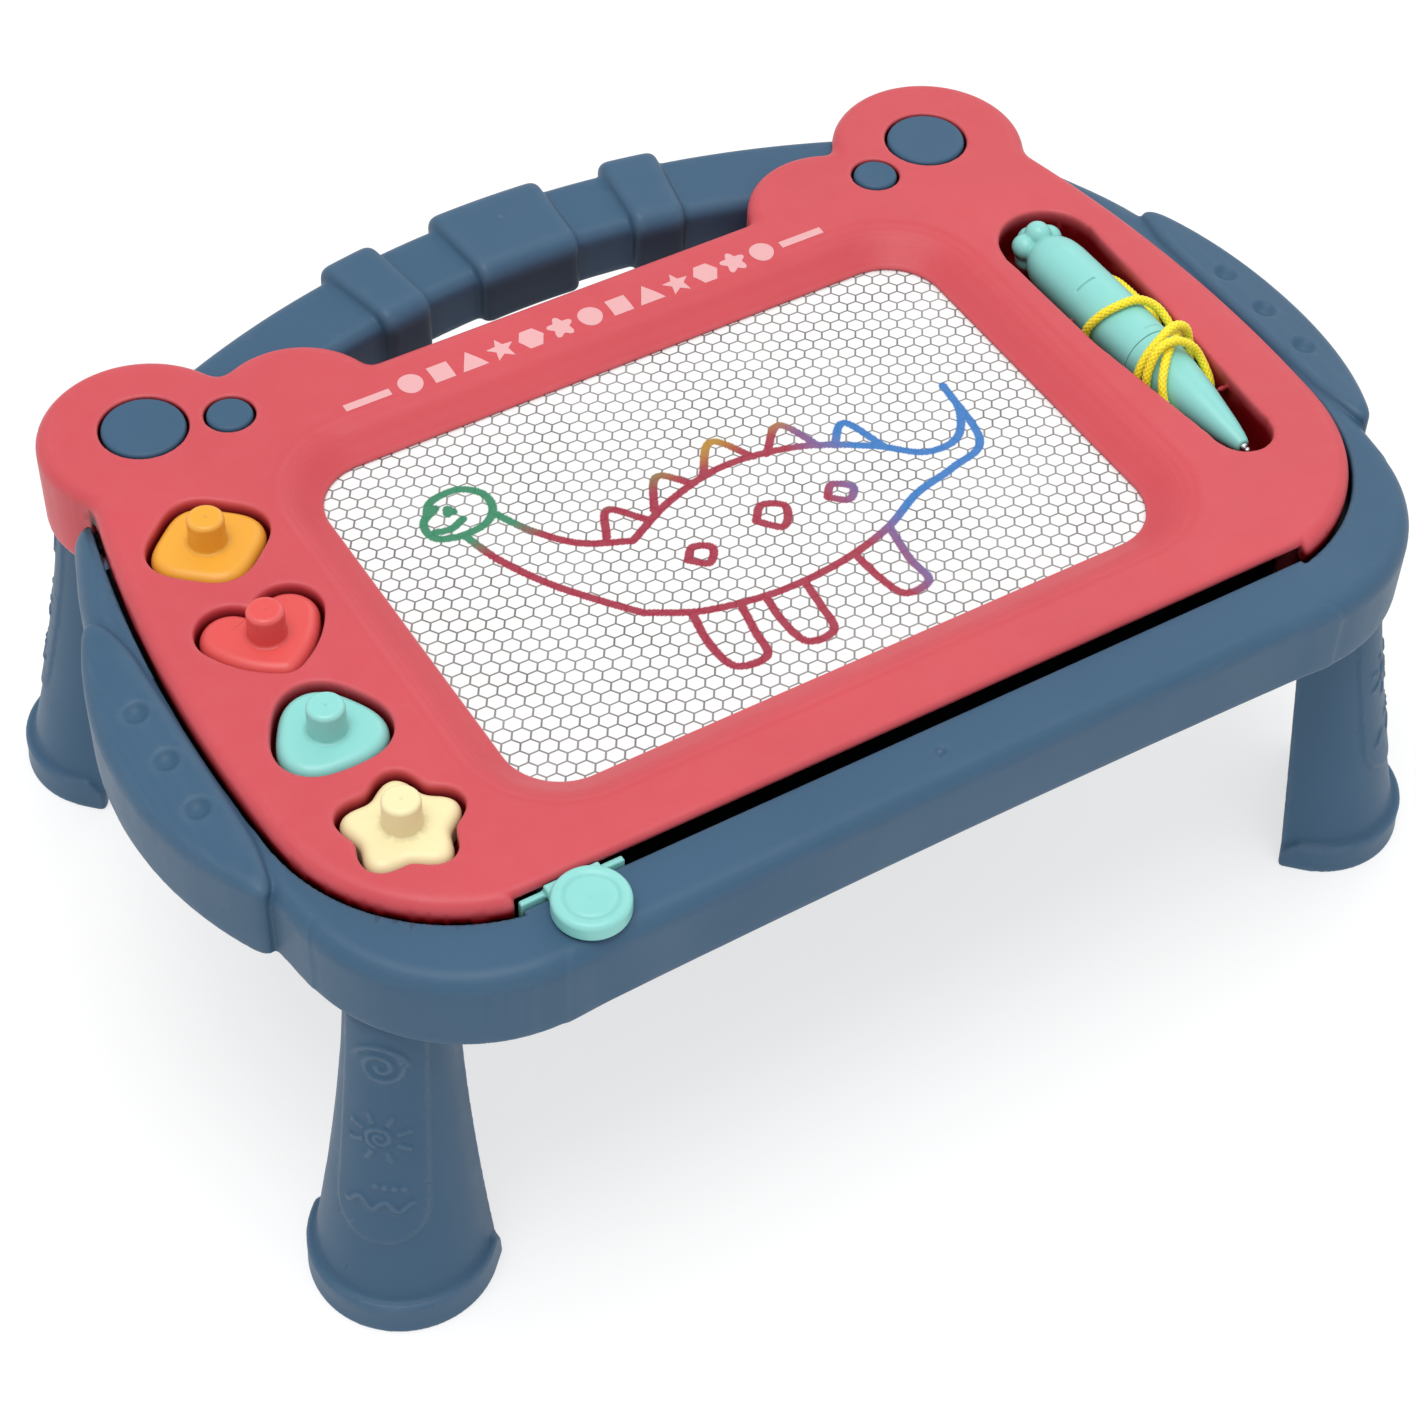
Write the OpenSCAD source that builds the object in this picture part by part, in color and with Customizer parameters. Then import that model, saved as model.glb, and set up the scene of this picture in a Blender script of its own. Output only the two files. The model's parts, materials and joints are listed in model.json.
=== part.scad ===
// Toddler's magnetic drawing desk: a drawing board on four plug-in legs, with a carrying handle,
// four shape stamps, a tethered pen and a sliding eraser. Millimetres, +Z up, standing on z = 0.
// X runs across the desk, +Y towards the handle. Plan sizes are taken from the screen's centre,
// and at_desk() moves them so that the footprint is centred on the origin.

/* [Screen] */
// Width of the drawing window
screen_w = 216; // [212:1:218]
// Depth of the drawing window
screen_d = 141.7; // [139:0.1:143]
// Corner radius of the drawing window
screen_corner = 18; // [14:1:20]
// Height of the window's edge above the floor
screen_z = 140; // [138:1:150]

/* [Deck] */
// Height of the deck's top above the window's edge
deck_rise = 8; // [7:0.5:9]
// Thickness of the deck's moulded skin
deck_skin = 2; // [1.8:0.1:2.2]
// Width of the slope round the drawing window
window_slope = 12; // [10:1:12]
// Radius of each ear
ear_r = 32; // [31:0.5:33]
// Depth of the stamp wells
well_depth = 12; // [11:0.5:12]
// Gap between a stamp and its well
stamp_gap = 1.3; // [1:0.1:1.6]
// Depth of the pen tray
tray_depth = 19.5; // [19:0.5:20]

/* [Frame] */
// Height of the frame's rim above the window's edge
rim_rise = 3; // [2:0.5:4]
// Depth of the frame from its rim to the bottom of its skirt
frame_depth = 26; // [24:1:28]
// Wall thickness of the frame and the bottom cover
frame_wall = 2.5; // [2:0.1:3]
// Half the width over the side grips
grip_half_w = 203.5; // [200:0.5:206]
// Gap between the deck and the frame's rim
deck_gap = 1.5; // [1.2:0.1:2]

/* [Handle] */
// Outer radius of the handle's arc
handle_r = 295; // [290:1:300]
// Width of the handle, front to back
handle_w = 29.5; // [28:0.5:31]
// Height of the handle's section
handle_h = 19; // [17:0.5:20]
// How far the raised bands stand out from the handle
band_out = 3.5; // [3:0.5:4]

/* [Legs] */
// Radius of the leg's shell at its top
leg_top_r = 15; // [14.5:0.1:15]
// Radius of the leg's shell above its foot
leg_foot_r = 25.5; // [24:0.5:27]
// Radius of the foot's rim
foot_rim_r = 28.5; // [27:0.5:30]
// Height of the foot's rim
foot_rim_h = 12; // [10:1:14]
// Length of the straight sides of the leg's U section
leg_side = 7; // [6:0.5:8]
// Wall thickness of the leg
leg_wall = 2.6; // [2.4:0.1:3]
// Inward lean of the leg, in degrees
leg_lean = 6; // [5:0.5:7]
// Radius of the plug at the leg's top
plug_r = 13.5; // [13:0.1:13.5]

/* [Pen and stamps] */
// Radius of the pen's barrel
pen_r = 10; // [9.5:0.5:10]
// Diameter of the pen's cord
cord_d = 3; // [2.6:0.1:3]
// Radius of the peg on a stamp
peg_r = 5.5; // [5:0.5:6]
// Height of the peg on a stamp
peg_h = 9.7; // [8:0.1:10]

/* [Eraser] */
// Radius of the eraser's knob
knob_r = 11; // [10:0.5:12]
// Distance of the knob from the desk's middle, at its left stop
knob_x = 115; // [114:0.5:116]

/* [Hidden] */
$fn = 96;

blue = [0.25, 0.37, 0.49];
coral = [0.87, 0.37, 0.39];
teal = [0.53, 0.87, 0.82];
steel = [0.7, 0.7, 0.72];
black = [0.15, 0.15, 0.16];

// Heights
deck_z = screen_z + deck_rise;
rim_z = screen_z + rim_rise;
skirt_z = rim_z - frame_depth;
film_z = screen_z - 1;
wall_foot_z = screen_z - 2;
ear_foot_z = skirt_z + 1;
cover_z = skirt_z + 1;
cover_top_z = cover_z + frame_wall;
web_z = rim_z - 9.4;
web_t = 2.4;
handle_z = rim_z - handle_h;
handle_top_z = rim_z - 0.2;
well_z = deck_z - well_depth;
tray_z = deck_z - tray_depth;
socket_top_z = cover_z + 13.8;
slot_y = 102;
slot_half = 132;
slot_edge_h = 4.5;

// Places in the plan, from the screen's centre
ear_at = [142, 109.5];
lobe_at = [96, 97];
lobe_r = 27.5;
corner_at = [119, -47.5];
corner_r = 58.5;
side_r = 440;
side_at = [260.8, -12];
deck_back_y = 103;
ear_front_y = 89.5;
frame_side_r = 440;
frame_side_at = [248.4, 0];
frame_side_from_y = -81;
taper_from = [240.8, -90];
taper_end_y = 95;
taper_turn = 20.2;
frame_corner_at = [129.5, -72];
frame_corner_r = 54;
grip_r = 119;
grip_y = -8.8;
handle_back_y = 157.5;
handle_at = handle_back_y - handle_r;
handle_half_angle = 27;
root_angle = 20;
web_half_x = 104;
rail_half_x = 121;

foot_front = [169.5, -97.5];
foot_back = [162, 126];
plug_inset = 12;
mid_y = (handle_back_y + band_out + foot_front[1] - foot_rim_r) / 2;

wells = [
    ["diamond", [-145, 57]],
    ["heart", [-146.3, 15.2]],
    ["triangle", [-147.8, -25.5]],
    ["star", [-145.5, -65.5]]
];
stamp_z = well_z + 0.3;
stamp_magnet_t = 1.5;
stamp_top_z = deck_z - 0.3;

pen_x = 146;
pen_z = deck_z - 6;

clear = 0.3;
sliver = 0.01;

module at_desk() translate([0, -mid_y, 0]) children();
module both_sides() for (side = [-1, 1]) scale_x(side) children();
module scale_x(side) if (side < 0) mirror([1, 0, 0]) children(); else children();
module slab(low, high) translate([0, 0, low]) linear_extrude(high - low) children();

// ---- Outlines ----------------------------------------------------------------------------

// The deck between its straight front and back, without the ears; grow moves the edge outwards
module deck_core(grow) {
    both_sides() translate(corner_at) circle(corner_r + grow);
    translate([-corner_at[0], corner_at[1] - corner_r - grow])
        square([2 * corner_at[0], deck_back_y + corner_r - corner_at[1] + 2 * grow]);
    intersection() {
        translate([-side_at[0], side_at[1]]) circle(side_r + grow, $fn = 240);
        translate([side_at[0], side_at[1]]) circle(side_r + grow, $fn = 240);
        translate([-200, corner_at[1]]) square([400, deck_back_y - corner_at[1] + grow]);
    }
}

module deck_outline(grow) {
    deck_core(grow);
    both_sides() {
        translate(ear_at) circle(ear_r + grow);
        translate(lobe_at) circle(lobe_r + grow);
    }
}

module behind(y) translate([-220, y]) square([440, 200]);
module before(y) translate([-220, y - 240]) square([440, 240]);

// The frame's outer edge, in front of the ears
module frame_outline(grow) {
    both_sides() translate(frame_corner_at) circle(frame_corner_r + grow);
    translate([-frame_corner_at[0], frame_corner_at[1] - frame_corner_r - grow])
        square([2 * frame_corner_at[0], 80]);
    intersection() {
        translate([-frame_side_at[0], frame_side_at[1]]) circle(frame_side_r + grow, $fn = 240);
        translate([frame_side_at[0], frame_side_at[1]]) circle(frame_side_r + grow, $fn = 240);
        translate([-200, frame_side_from_y]) square([400, ear_front_y + grow - frame_side_from_y]);
        strip_taper(grow);
    }
    both_sides() grip_outline(grow);
}

// The frame's side strips narrow towards the ears
module strip_taper(grow) {
    out = grow / cos(taper_turn);
    half = taper_from[0] + out;
    run = (taper_end_y - taper_from[1]) * tan(taper_turn);
    polygon([[half, taper_from[1]], [half - run, taper_end_y], [run - half, taper_end_y], [-half, taper_from[1]]]);
}

module grip_outline(grow) intersection() {
    translate([grip_half_w - grip_r, grip_y]) circle(grip_r + grow, $fn = 180);
    translate([165, -78]) square([60, 136]);
}

module window(grow) {
    corner = screen_corner + grow;
    half = [screen_w / 2 - screen_corner, screen_d / 2 - screen_corner];
    for (x = [-1, 1], y = [-1, 1]) translate([x * half[0], y * half[1]]) circle(corner);
    square([screen_w + 2 * grow, 2 * half[1]], center = true);
    square([2 * half[0], screen_d + 2 * grow], center = true);
}

// Rounded shapes of the stamps, from a radius that swells and shrinks round the circle
function lobed(radius, swell, count, turn, stretch = 0) =
    [for (a = [0:6:354]) (radius + swell * cos(count * (a - turn)) + stretch * cos(2 * a)) * [cos(a), sin(a)]];

// Two lobes and a round tip, joined by arcs that touch them
module heart(grow) {
    lobe = [8.9, 5.2];
    lobe_radius = 9.1;
    tip = [0, -10.8];
    tip_radius = 4.5;
    side = [-13.9, 15.2];
    side_radius = 34;
    side_top = lobe[1] - 3.66;
    side_foot = tip[1] - 3.9;
    both_sides() translate(lobe) circle(lobe_radius + grow);
    translate([-lobe[0], side_top - 1]) square([2 * lobe[0], lobe[1] + 1 - side_top]);
    // The side arcs run a touch inside, so that they cross the circles cleanly
    intersection() {
        translate(side) circle(side_radius + grow - 0.04, $fn = 180);
        mirror([1, 0, 0]) translate(side) circle(side_radius + grow - 0.04, $fn = 180);
        translate([-30, side_foot]) square([60, side_top - side_foot]);
    }
    translate(tip) circle(tip_radius + grow);
}

module stamp_outline(shape, grow) {
    if (shape == "diamond") polygon(lobed(16 + grow, 1, 4, 0, 0.5));
    if (shape == "heart") heart(grow);
    if (shape == "triangle") polygon(lobed(15.6 + grow, 1.3, 3, 90));
    if (shape == "star") polygon(lobed(15.2 + grow, 2, 5, 0));
}

// The pen tray narrows towards the pen's tip
module tray_outline(grow) {
    translate([146, 46]) circle(16 + grow);
    translate([146, -55]) circle(9.5 + grow);
    polygon([[130 - grow, 46], [162 + grow, 46], [160.5 + grow, 10], [155.5 + grow, -55],
             [136.5 - grow, -55], [130.5 - grow, 0]]);
}

// A U, open towards -X, with its half circle's centre at the origin
module u_outline(radius, side) {
    intersection() {
        circle(radius);
        translate([0, -radius]) square([radius, 2 * radius]);
    }
    translate([-side, -radius]) square([side, 2 * radius]);
}

// A stretch of the handle's arc, between two radii and two heights
module handle_arc(inner, outer, low, high, from, to)
    translate([0, handle_at, 0]) rotate(90 - to) rotate_extrude(angle = to - from, $fn = 360)
        translate([inner, low]) square([outer - inner, high - low]);

// ---- Blue frame --------------------------------------------------------------------------

grip_dimples = [9, -11, -31];
band_middle = 3.9;
band_side = [8.1, 12];

// The handle's box section, and the bands that stand out from it
module handle_bar() handle_arc(handle_r - handle_w, handle_r, handle_z, handle_top_z, -handle_half_angle,
                              handle_half_angle);

module handle_bands(grow)
    for (span = [[-band_middle, band_middle], band_side, [-band_side[1], -band_side[0]]])
        handle_arc(handle_r - handle_w - grow, handle_r + grow, handle_z + 1, rim_z + grow - 0.5, span[0],
                   span[1]);

// Joins the frame to the handle inside the ears, clear of the screen's rail and the eraser's arm
module ear_web() intersection() {
    union() {
        intersection() { deck_outline(-deck_skin - 0.6); behind(ear_front_y - 4); }
        intersection() { deck_outline(deck_gap + 1); behind(ear_front_y - 9); before(ear_front_y - 1.5); }
    }
    both_sides() {
        translate([web_half_x, 94]) square([100, 60]);
        translate([rail_half_x + 1.5, 60]) square([100, 60]);
    }
}

case_posts = [[-60, -116.6], [60, -116.6], [-190, -13], [190, -13], [-126, 96], [126, 96]];
post_r = 4;
screw_r = 1.5;

module frame_shell() color(blue) at_desk() difference() {
    union() {
        slab(skirt_z, rim_z) difference() {
            frame_outline(0);
            frame_outline(-frame_wall);
            deck_outline(deck_gap);
        }
        slab(rim_z - frame_wall, rim_z) difference() { frame_outline(0); deck_outline(deck_gap); }
        slab(web_z, rim_z) intersection() {
            difference() { deck_outline(deck_gap + 2); deck_outline(deck_gap); }
            before(ear_front_y);
        }
        slab(skirt_z, rim_z) intersection() {
            difference() { frame_outline(0); deck_outline(deck_gap); }
            behind(ear_front_y - 2.2);
        }
        slab(rim_z - sliver, rim_z + 1.2) both_sides() difference() {
            grip_outline(-3);
            deck_outline(deck_gap + 3);
        }
        slab(web_z, web_z + web_t) ear_web();
        handle_bar();
        handle_bands(band_out);
        for (post = case_posts) translate([post[0], post[1], cover_top_z])
            cylinder(r = post_r, h = (post[1] > 50 ? web_z : rim_z - 1) - cover_top_z);
    }
    handle_arc(handle_r - handle_w + frame_wall, handle_r - frame_wall, handle_z - 1, rim_z - frame_wall,
               -handle_half_angle - 1, handle_half_angle + 1);
    for (side = [-1, 1], y = grip_dimples) translate([side * 190, y, rim_z + 5.4]) sphere(r = 5.2);
    for (post = case_posts) translate([post[0], post[1], cover_top_z - 1]) cylinder(r = screw_r, h = 11);
}

// ---- Bottom cover ------------------------------------------------------------------------

// Places children at each leg, turned so that +X points outwards
module at_leg(foot, side_x) {
    turn = atan2(sign(foot[1]) , side_x);
    translate([side_x * foot[0], foot[1], 0]) rotate(turn) children();
}

module at_legs() for (foot = [foot_front, foot_back], side_x = [-1, 1]) at_leg(foot, side_x) children();

deck_posts = [[-139, -92], [139, -92], [-96, 101], [96, 101]];
head_r = 3;
head_h = 1.2;

module bottom_cover() color(blue) at_desk() difference() {
    union() {
        slab(cover_z, cover_top_z) {
            intersection() { frame_outline(-frame_wall - clear); before(ear_front_y - 2.6); }
            deck_outline(-deck_skin - 0.5);
        }
        at_legs() slab(cover_z, socket_top_z + 1.5) translate([-plug_inset, 0])
            u_outline(plug_r + clear + 1.2, leg_side + clear + 1.2);
        handle_plate(handle_z, root_angle + 6);
        intersection() {
            handle_plate(cover_z, root_angle + 6);
            slab(cover_z, handle_z + 2) intersection() {
                deck_outline(-deck_skin - 0.5);
                both_sides() translate([web_half_x, 0]) square([100, 200]);
            }
        }
    }
    at_legs() slab(cover_z - 1, socket_top_z) translate([-plug_inset, 0])
        u_outline(plug_r + clear, leg_side + clear);
    for (post = concat(case_posts, deck_posts)) translate([post[0], post[1], cover_z]) {
        translate([0, 0, -1]) cylinder(r = screw_r + 0.2, h = 6);
        translate([0, 0, -sliver]) cylinder(r = head_r + 0.2, h = head_h + sliver);
    }
}

// Closes the handle from below, between the walls of the frame's handle
module handle_plate(low, half_angle) handle_arc(handle_r - handle_w + frame_wall + clear,
    handle_r - frame_wall - clear, low, handle_z + 2, -half_angle, half_angle);

// ---- Deck --------------------------------------------------------------------------------

big_cap_at = [141.3, 110];
small_cap_at = [116.4, 102.6];
big_cap_r = 13;
small_cap_r = 7.3;
cap_post_r = 3.5;
rail_y = 83;
rail_screw_x = [-90, 0, 90];

module deck_bezel() color(coral) at_desk() difference() {
    union() {
        difference() {
            union() {
                slab(wall_foot_z, deck_z) deck_outline(0);
                slab(ear_foot_z, deck_z) intersection() { deck_outline(0); behind(ear_front_y); }
            }
            slab(ear_foot_z - 1, deck_z - deck_skin) deck_outline(-deck_skin);
            slot_cut();
        }
        slab(deck_z - slot_edge_h, deck_z - sliver) slot_walls();
        slab(film_z, deck_z) window(window_slope);
        for (well = wells) translate(well[1])
            slab(well_z - 1.6, deck_z - sliver) stamp_outline(well[0], stamp_gap + 1.6);
        slab(tray_z - 1.6, deck_z - sliver) tray_outline(1.8);
        for (post = deck_posts) translate([post[0], post[1], cover_top_z])
            cylinder(r = post_r, h = deck_z - 1 - cover_top_z);
        for (x = rail_screw_x, y = [-rail_y - 3, rail_y + 3]) translate([x, y, film_z - 3.2])
            cylinder(r = 3.5, h = deck_z - 1 - film_z + 3.2);
    }
    slab(film_z - 1, deck_z + 1) window(0);
    window_bevel();
    for (well = wells) translate(well[1]) slab(well_z, deck_z + 1) stamp_outline(well[0], stamp_gap);
    slab(tray_z, deck_z + 1) tray_outline(0);
    both_sides() {
        translate([big_cap_at[0], big_cap_at[1], deck_z - 4]) cylinder(r = big_cap_r + 0.6, h = 5);
        translate([small_cap_at[0], small_cap_at[1], deck_z - 4]) cylinder(r = small_cap_r + 0.6, h = 5);
    }
    handle_arc(handle_r - handle_w - 0.5, handle_r + 0.5, handle_z - 0.5, rim_z + 0.3, -handle_half_angle - 0.5,
               handle_half_angle + 0.5);
    for (post = deck_posts) translate([post[0], post[1], cover_top_z - 1]) cylinder(r = screw_r, h = 12);
    for (x = rail_screw_x, y = [-rail_y - 3, rail_y + 3]) translate([x, y, film_z - 4])
        cylinder(r = 1.1, h = 6.5);
}

// The slot that the eraser runs in, along the deck's front edge and open below it
module slot_cut() translate([-slot_half, -140, wall_foot_z - 1])
    cube([2 * slot_half, 140 - slot_y, deck_rise + 4]);
module slot_walls() {
    translate([-slot_half, -slot_y]) square([2 * slot_half, deck_skin]);
    intersection() {
        both_sides() translate([slot_half, -slot_y - 8]) square([deck_skin, 10]);
        deck_outline(0);
    }
}

// Straight slopes from the deck's top down to the window, with cones in the corners
module window_bevel() {
    half = [screen_w / 2 - screen_corner, screen_d / 2 - screen_corner];
    slope = window_slope;
    for (x = [-1, 1], y = [-1, 1]) translate([x * half[0], y * half[1], screen_z])
        cylinder(r1 = screen_corner, r2 = screen_corner + slope, h = deck_rise + sliver);
    wedge = [[0, 0], [0, deck_rise + 1], [slope, deck_rise + 1], [slope, deck_rise]];
    both_sides() translate([screen_w / 2, half[1], screen_z]) rotate([90, 0, 0])
        linear_extrude(2 * half[1]) polygon(wedge);
    for (turn = [0, 180]) rotate(turn) translate([-half[0], screen_d / 2, screen_z])
        rotate([90, 0, 90]) linear_extrude(2 * half[0]) polygon(wedge);
}

// The large caps stand on the web, the small ones on the handle's root
module ear_cap(at, radius, side, foot_z) color(blue) at_desk() translate([side * at[0], at[1], 0]) {
    translate([0, 0, rim_z]) cylinder(r = radius, h = deck_rise - rim_rise + 0.2);
    translate([0, 0, foot_z]) cylinder(r = cap_post_r, h = rim_z - foot_z);
}

module ear_cap_large_left() ear_cap(big_cap_at, big_cap_r, -1, web_z + web_t);
module ear_cap_large_right() ear_cap(big_cap_at, big_cap_r, 1, web_z + web_t);
module ear_cap_small_left() ear_cap(small_cap_at, small_cap_r, -1, handle_top_z);
module ear_cap_small_right() ear_cap(small_cap_at, small_cap_r, 1, handle_top_z);

// ---- Screen ------------------------------------------------------------------------------

film_t = 0.6;
core_t = 2;
panel_size = [screen_w + 14, screen_d + 16];

module panel(low, high) at_desk() slab(low, high) square(panel_size, center = true);
module screen_front_film() color("white", 0.6) panel(film_z - film_t, film_z);
module screen_honeycomb() color("whitesmoke") panel(film_z - film_t - core_t, film_z - film_t);
module screen_back_film() color("gainsboro") panel(film_z - 2 * film_t - core_t, film_z - film_t - core_t);

rail_top_z = film_z - 3.2;
rail_t = 2.4;

module rail(side) color("lightgray") at_desk() difference() {
    slab(rail_top_z - rail_t, rail_top_z) translate([-rail_half_x, side * rail_y - 9.5])
        square([2 * rail_half_x, 19]);
    for (x = rail_screw_x) translate([x, side * (rail_y + 3), rail_top_z - rail_t - 1]) {
        cylinder(r = 1.3, h = 6);
        cylinder(r = 2.6, h = 2.4);
    }
}

module screen_rail_front() rail(-1);
module screen_rail_back() rail(1);

// ---- Eraser ------------------------------------------------------------------------------

arm_top_z = rail_top_z - rail_t - clear;
arm_t = 2.5;
magnet_half = [5, 71];
knob_y = -115;
knob_z = rim_z + 0.6;

module eraser_slider() color(teal) at_desk() translate([-knob_x, 0, 0]) {
    slab(arm_top_z - arm_t, arm_top_z) translate([-6, -105.4]) square([12, 196.8]);
    slab(arm_top_z - sliver, arm_top_z + 0.6) square(2 * magnet_half + [0, 2], center = true);
    slab(arm_top_z - arm_t, rim_z + 1.5) translate([-16, -105.4]) square([32, 3]);
    slab(knob_z, knob_z + 3.5) translate([-6, knob_y]) square([12, 11.8]);
    difference() {
        translate([0, knob_y, knob_z]) cylinder(r = knob_r, h = 5.8);
        translate([0, knob_y, knob_z + 5]) cylinder(r1 = knob_r - 3, r2 = knob_r - 2, h = 1);
    }
}

module eraser_magnet() color(black) at_desk() translate([-knob_x, 0, 0])
    slab(arm_top_z + 0.6, arm_top_z + 2.3) square(2 * magnet_half, center = true);

// ---- Stamps ------------------------------------------------------------------------------

module stamp(index, tint) color(tint) at_desk() translate(wells[index][1]) {
    shape = wells[index][0];
    slab(stamp_z + stamp_magnet_t, stamp_top_z - 1.5) stamp_outline(shape, 0);
    slab(stamp_top_z - 1.5 - sliver, stamp_top_z) stamp_outline(shape, -1.5);
    translate([0, 0, stamp_top_z - 1]) cylinder(r = peg_r, h = peg_h + 1);
}

module stamp_sheet(index) color(black) at_desk() translate(wells[index][1])
    slab(stamp_z, stamp_z + stamp_magnet_t) stamp_outline(wells[index][0], -2);

module stamp_diamond() stamp(0, [0.98, 0.68, 0.25]);
module stamp_heart() stamp(1, [0.95, 0.4, 0.4]);
module stamp_triangle() stamp(2, teal);
module stamp_star() stamp(3, [0.98, 0.9, 0.68]);
module magnet_diamond() stamp_sheet(0);
module magnet_heart() stamp_sheet(1);
module magnet_triangle() stamp_sheet(2);
module magnet_star() stamp_sheet(3);

// ---- Pen ---------------------------------------------------------------------------------

pen_seam_y = -9;
pen_bore_r = 4;
pen_barrel_shape = [[0, pen_seam_y], [9.3, pen_seam_y], [pen_r, 8], [pen_r, 38], [9, 44.5], [6, 48.5], [0, 50]];
pen_cone_shape = [[0, pen_seam_y], [9.3, pen_seam_y], [8.7, -20], [6.6, -36], [4.2, -49], [2.1, -57], [0, -57]];

// Turns an outline of radius against distance along the pen about the pen's axis
module turned(shape) at_desk() translate([pen_x, 0, pen_z]) rotate([-90, 0, 0]) rotate_extrude() polygon(shape);
module pen_bore(grow) at_desk() translate([pen_x, -22, pen_z]) rotate([-90, 0, 0])
    cylinder(r = pen_bore_r + grow, h = 40);

module pen_barrel() color(teal) difference() {
    union() {
        turned(pen_barrel_shape);
        at_desk() translate([pen_x, 52, pen_z]) {
            for (turn = [0:72:288]) rotate([0, turn, 0]) translate([5, 0, 0]) sphere(r = 4.2, $fn = 32);
            translate([0, 3.5, 0]) sphere(r = 4.4, $fn = 32);
        }
    }
    pen_bore(0);
}

module pen_cone() color(teal) difference() {
    turned(pen_cone_shape);
    pen_bore(0);
}

module pen_magnet() color(steel) pen_bore(0);
module pen_tip() color(steel) turned([[0, -57], [1.6, -57], [1.2, -59.6], [0, -60.4]]);

// The cord's route round the pen: turn in degrees, distance along the pen, distance from its axis.
// 0 is to the right of the pen, 90 above it; it leaves under the crown and ends in the tray's floor.
cord_route = [
    [-70, 45, 9.6], [-55, 40, 11.6], [-20, 32, 11.6], [4, 24, 11.6], [8, 12, 11.6], [0, 3, 11.6],
    [-45, -2, 11.6], [-90, 1, 11.4], [-135, 8, 11.7], [-180, 9, 11.6], [-220, 7, 11.6], [-255, 5, 11.6],
    [-300, 4, 11.8], [-325, 1, 12.4], [-345, -4, 12], [-365, -7, 11.5], [-405, -9, 11.2],
    [-450, -12, 10.9], [-495, -16, 10.8], [-535, -17, 10.8], [-580, -16, 10.8], [-617, -15, 12],
    [-650, -13, 13.9], [-672, -13, 14], [-695, -13.8, 12.2], [-720, -16, 10.6], [-765, -20, 10.3],
    [-810, -22, 10.2], [-855, -23, 10.2], [-892, -22, 10.4], [-935, -20, 11.4], [-965, -19, 13.6],
    [-987, -19, 13.7], [-1015, -20, 12], [-1050, -22, 10.6], [-1085, -28, 9.6], [-1125, -32, 9],
    [-1170, -34, 8.8], [-1215, -34, 8.8], [-1250, -31, 9.2], [-1300, -25, 10], [-1342, -19, 10.3],
    [-1380, -13.6, 10.5], [-1415, -10.6, 10.7], [-1450, -10.4, 10.7], [-1478, -12, 10.8],
    [-1495, -13.2, 10.8]
];
cord_sides = 8;

function on_pen(p) = [pen_x + p[2] * cos(p[0]), p[1], pen_z + p[2] * sin(p[0])];
cord_path = [for (p = cord_route) on_pen(p)];
function unit(v) = v / norm(v);
function along(path, i) = unit(path[min(i + 1, len(path) - 1)] - path[max(i - 1, 0)]);
function outwards(point) = unit([point[0] - pen_x, 0, point[2] - pen_z]);

// One closed tube whose rings stand square to the path
module tube(path, radius) {
    rings = [for (i = [0:len(path) - 1])
        let (t = along(path, i), b = unit(cross(t, outwards(path[i]))), n = cross(b, t))
        for (s = [0:cord_sides - 1]) let (a = 360 * s / cord_sides) path[i] + radius * (cos(a) * n + sin(a) * b)];
    last = (len(path) - 1) * cord_sides;
    walls = [for (i = [0:len(path) - 2], s = [0:cord_sides - 1])
        let (a = i * cord_sides + s, b = i * cord_sides + (s + 1) % cord_sides)
        [a, a + cord_sides, b + cord_sides, b]];
    start = [for (s = [0:cord_sides - 1]) s];
    end = [for (s = [cord_sides - 1:-1:0]) last + s];
    polyhedron(rings, concat(walls, [start, end]));
}

module pen_cord() color("gold") at_desk() tube(cord_path, cord_d / 2);

// ---- Legs --------------------------------------------------------------------------------

leg_h = skirt_z - 0.5;
flare = 1.6;
leg_steps = 8;
function leg_r(z) = leg_top_r + (leg_foot_r - leg_top_r) * pow(max(0, 1 - (z - foot_rim_h) / (leg_h - foot_rim_h)), flare);
leg_levels = concat([-10], [for (i = [0:leg_steps]) foot_rim_h + i * (leg_h - foot_rim_h) / leg_steps], [leg_h + 8]);
leg_shape = concat([for (z = leg_levels) [leg_r(z), z]],
                   [for (i = [len(leg_levels) - 1:-1:0]) [leg_r(leg_levels[i]) - leg_wall, leg_levels[i]]]);

// A U-shaped shell, open towards -X, from an outline of radius against height
module u_shell(shape) {
    rotate(-90) rotate_extrude(angle = 180) polygon(shape);
    for (side = [-1, 1]) rotate([0, 0, side * 90]) rotate([90, 0, 0]) translate([0, 0, side > 0 ? -leg_side : 0])
        linear_extrude(leg_side) polygon(shape);
}

module leg(foot, side_x) color(blue) at_desk() at_leg(foot, side_x) {
    intersection() {
        rotate([0, -leg_lean, 0]) u_shell(leg_shape);
        translate([-50, -50, 0]) cube([100, 100, leg_h]);
    }
    u_shell([[leg_foot_r - 3, 0], [foot_rim_r, 0], [foot_rim_r, foot_rim_h - 4], [foot_rim_r - 1.5, foot_rim_h - 1],
             [leg_foot_r - 3, foot_rim_h]]);
    slab(leg_h - 6, socket_top_z - 0.5) translate([-plug_inset, 0]) difference() {
        u_outline(plug_r, leg_side);
        u_outline(plug_r - leg_wall, leg_side + 1);
    }
}

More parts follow.
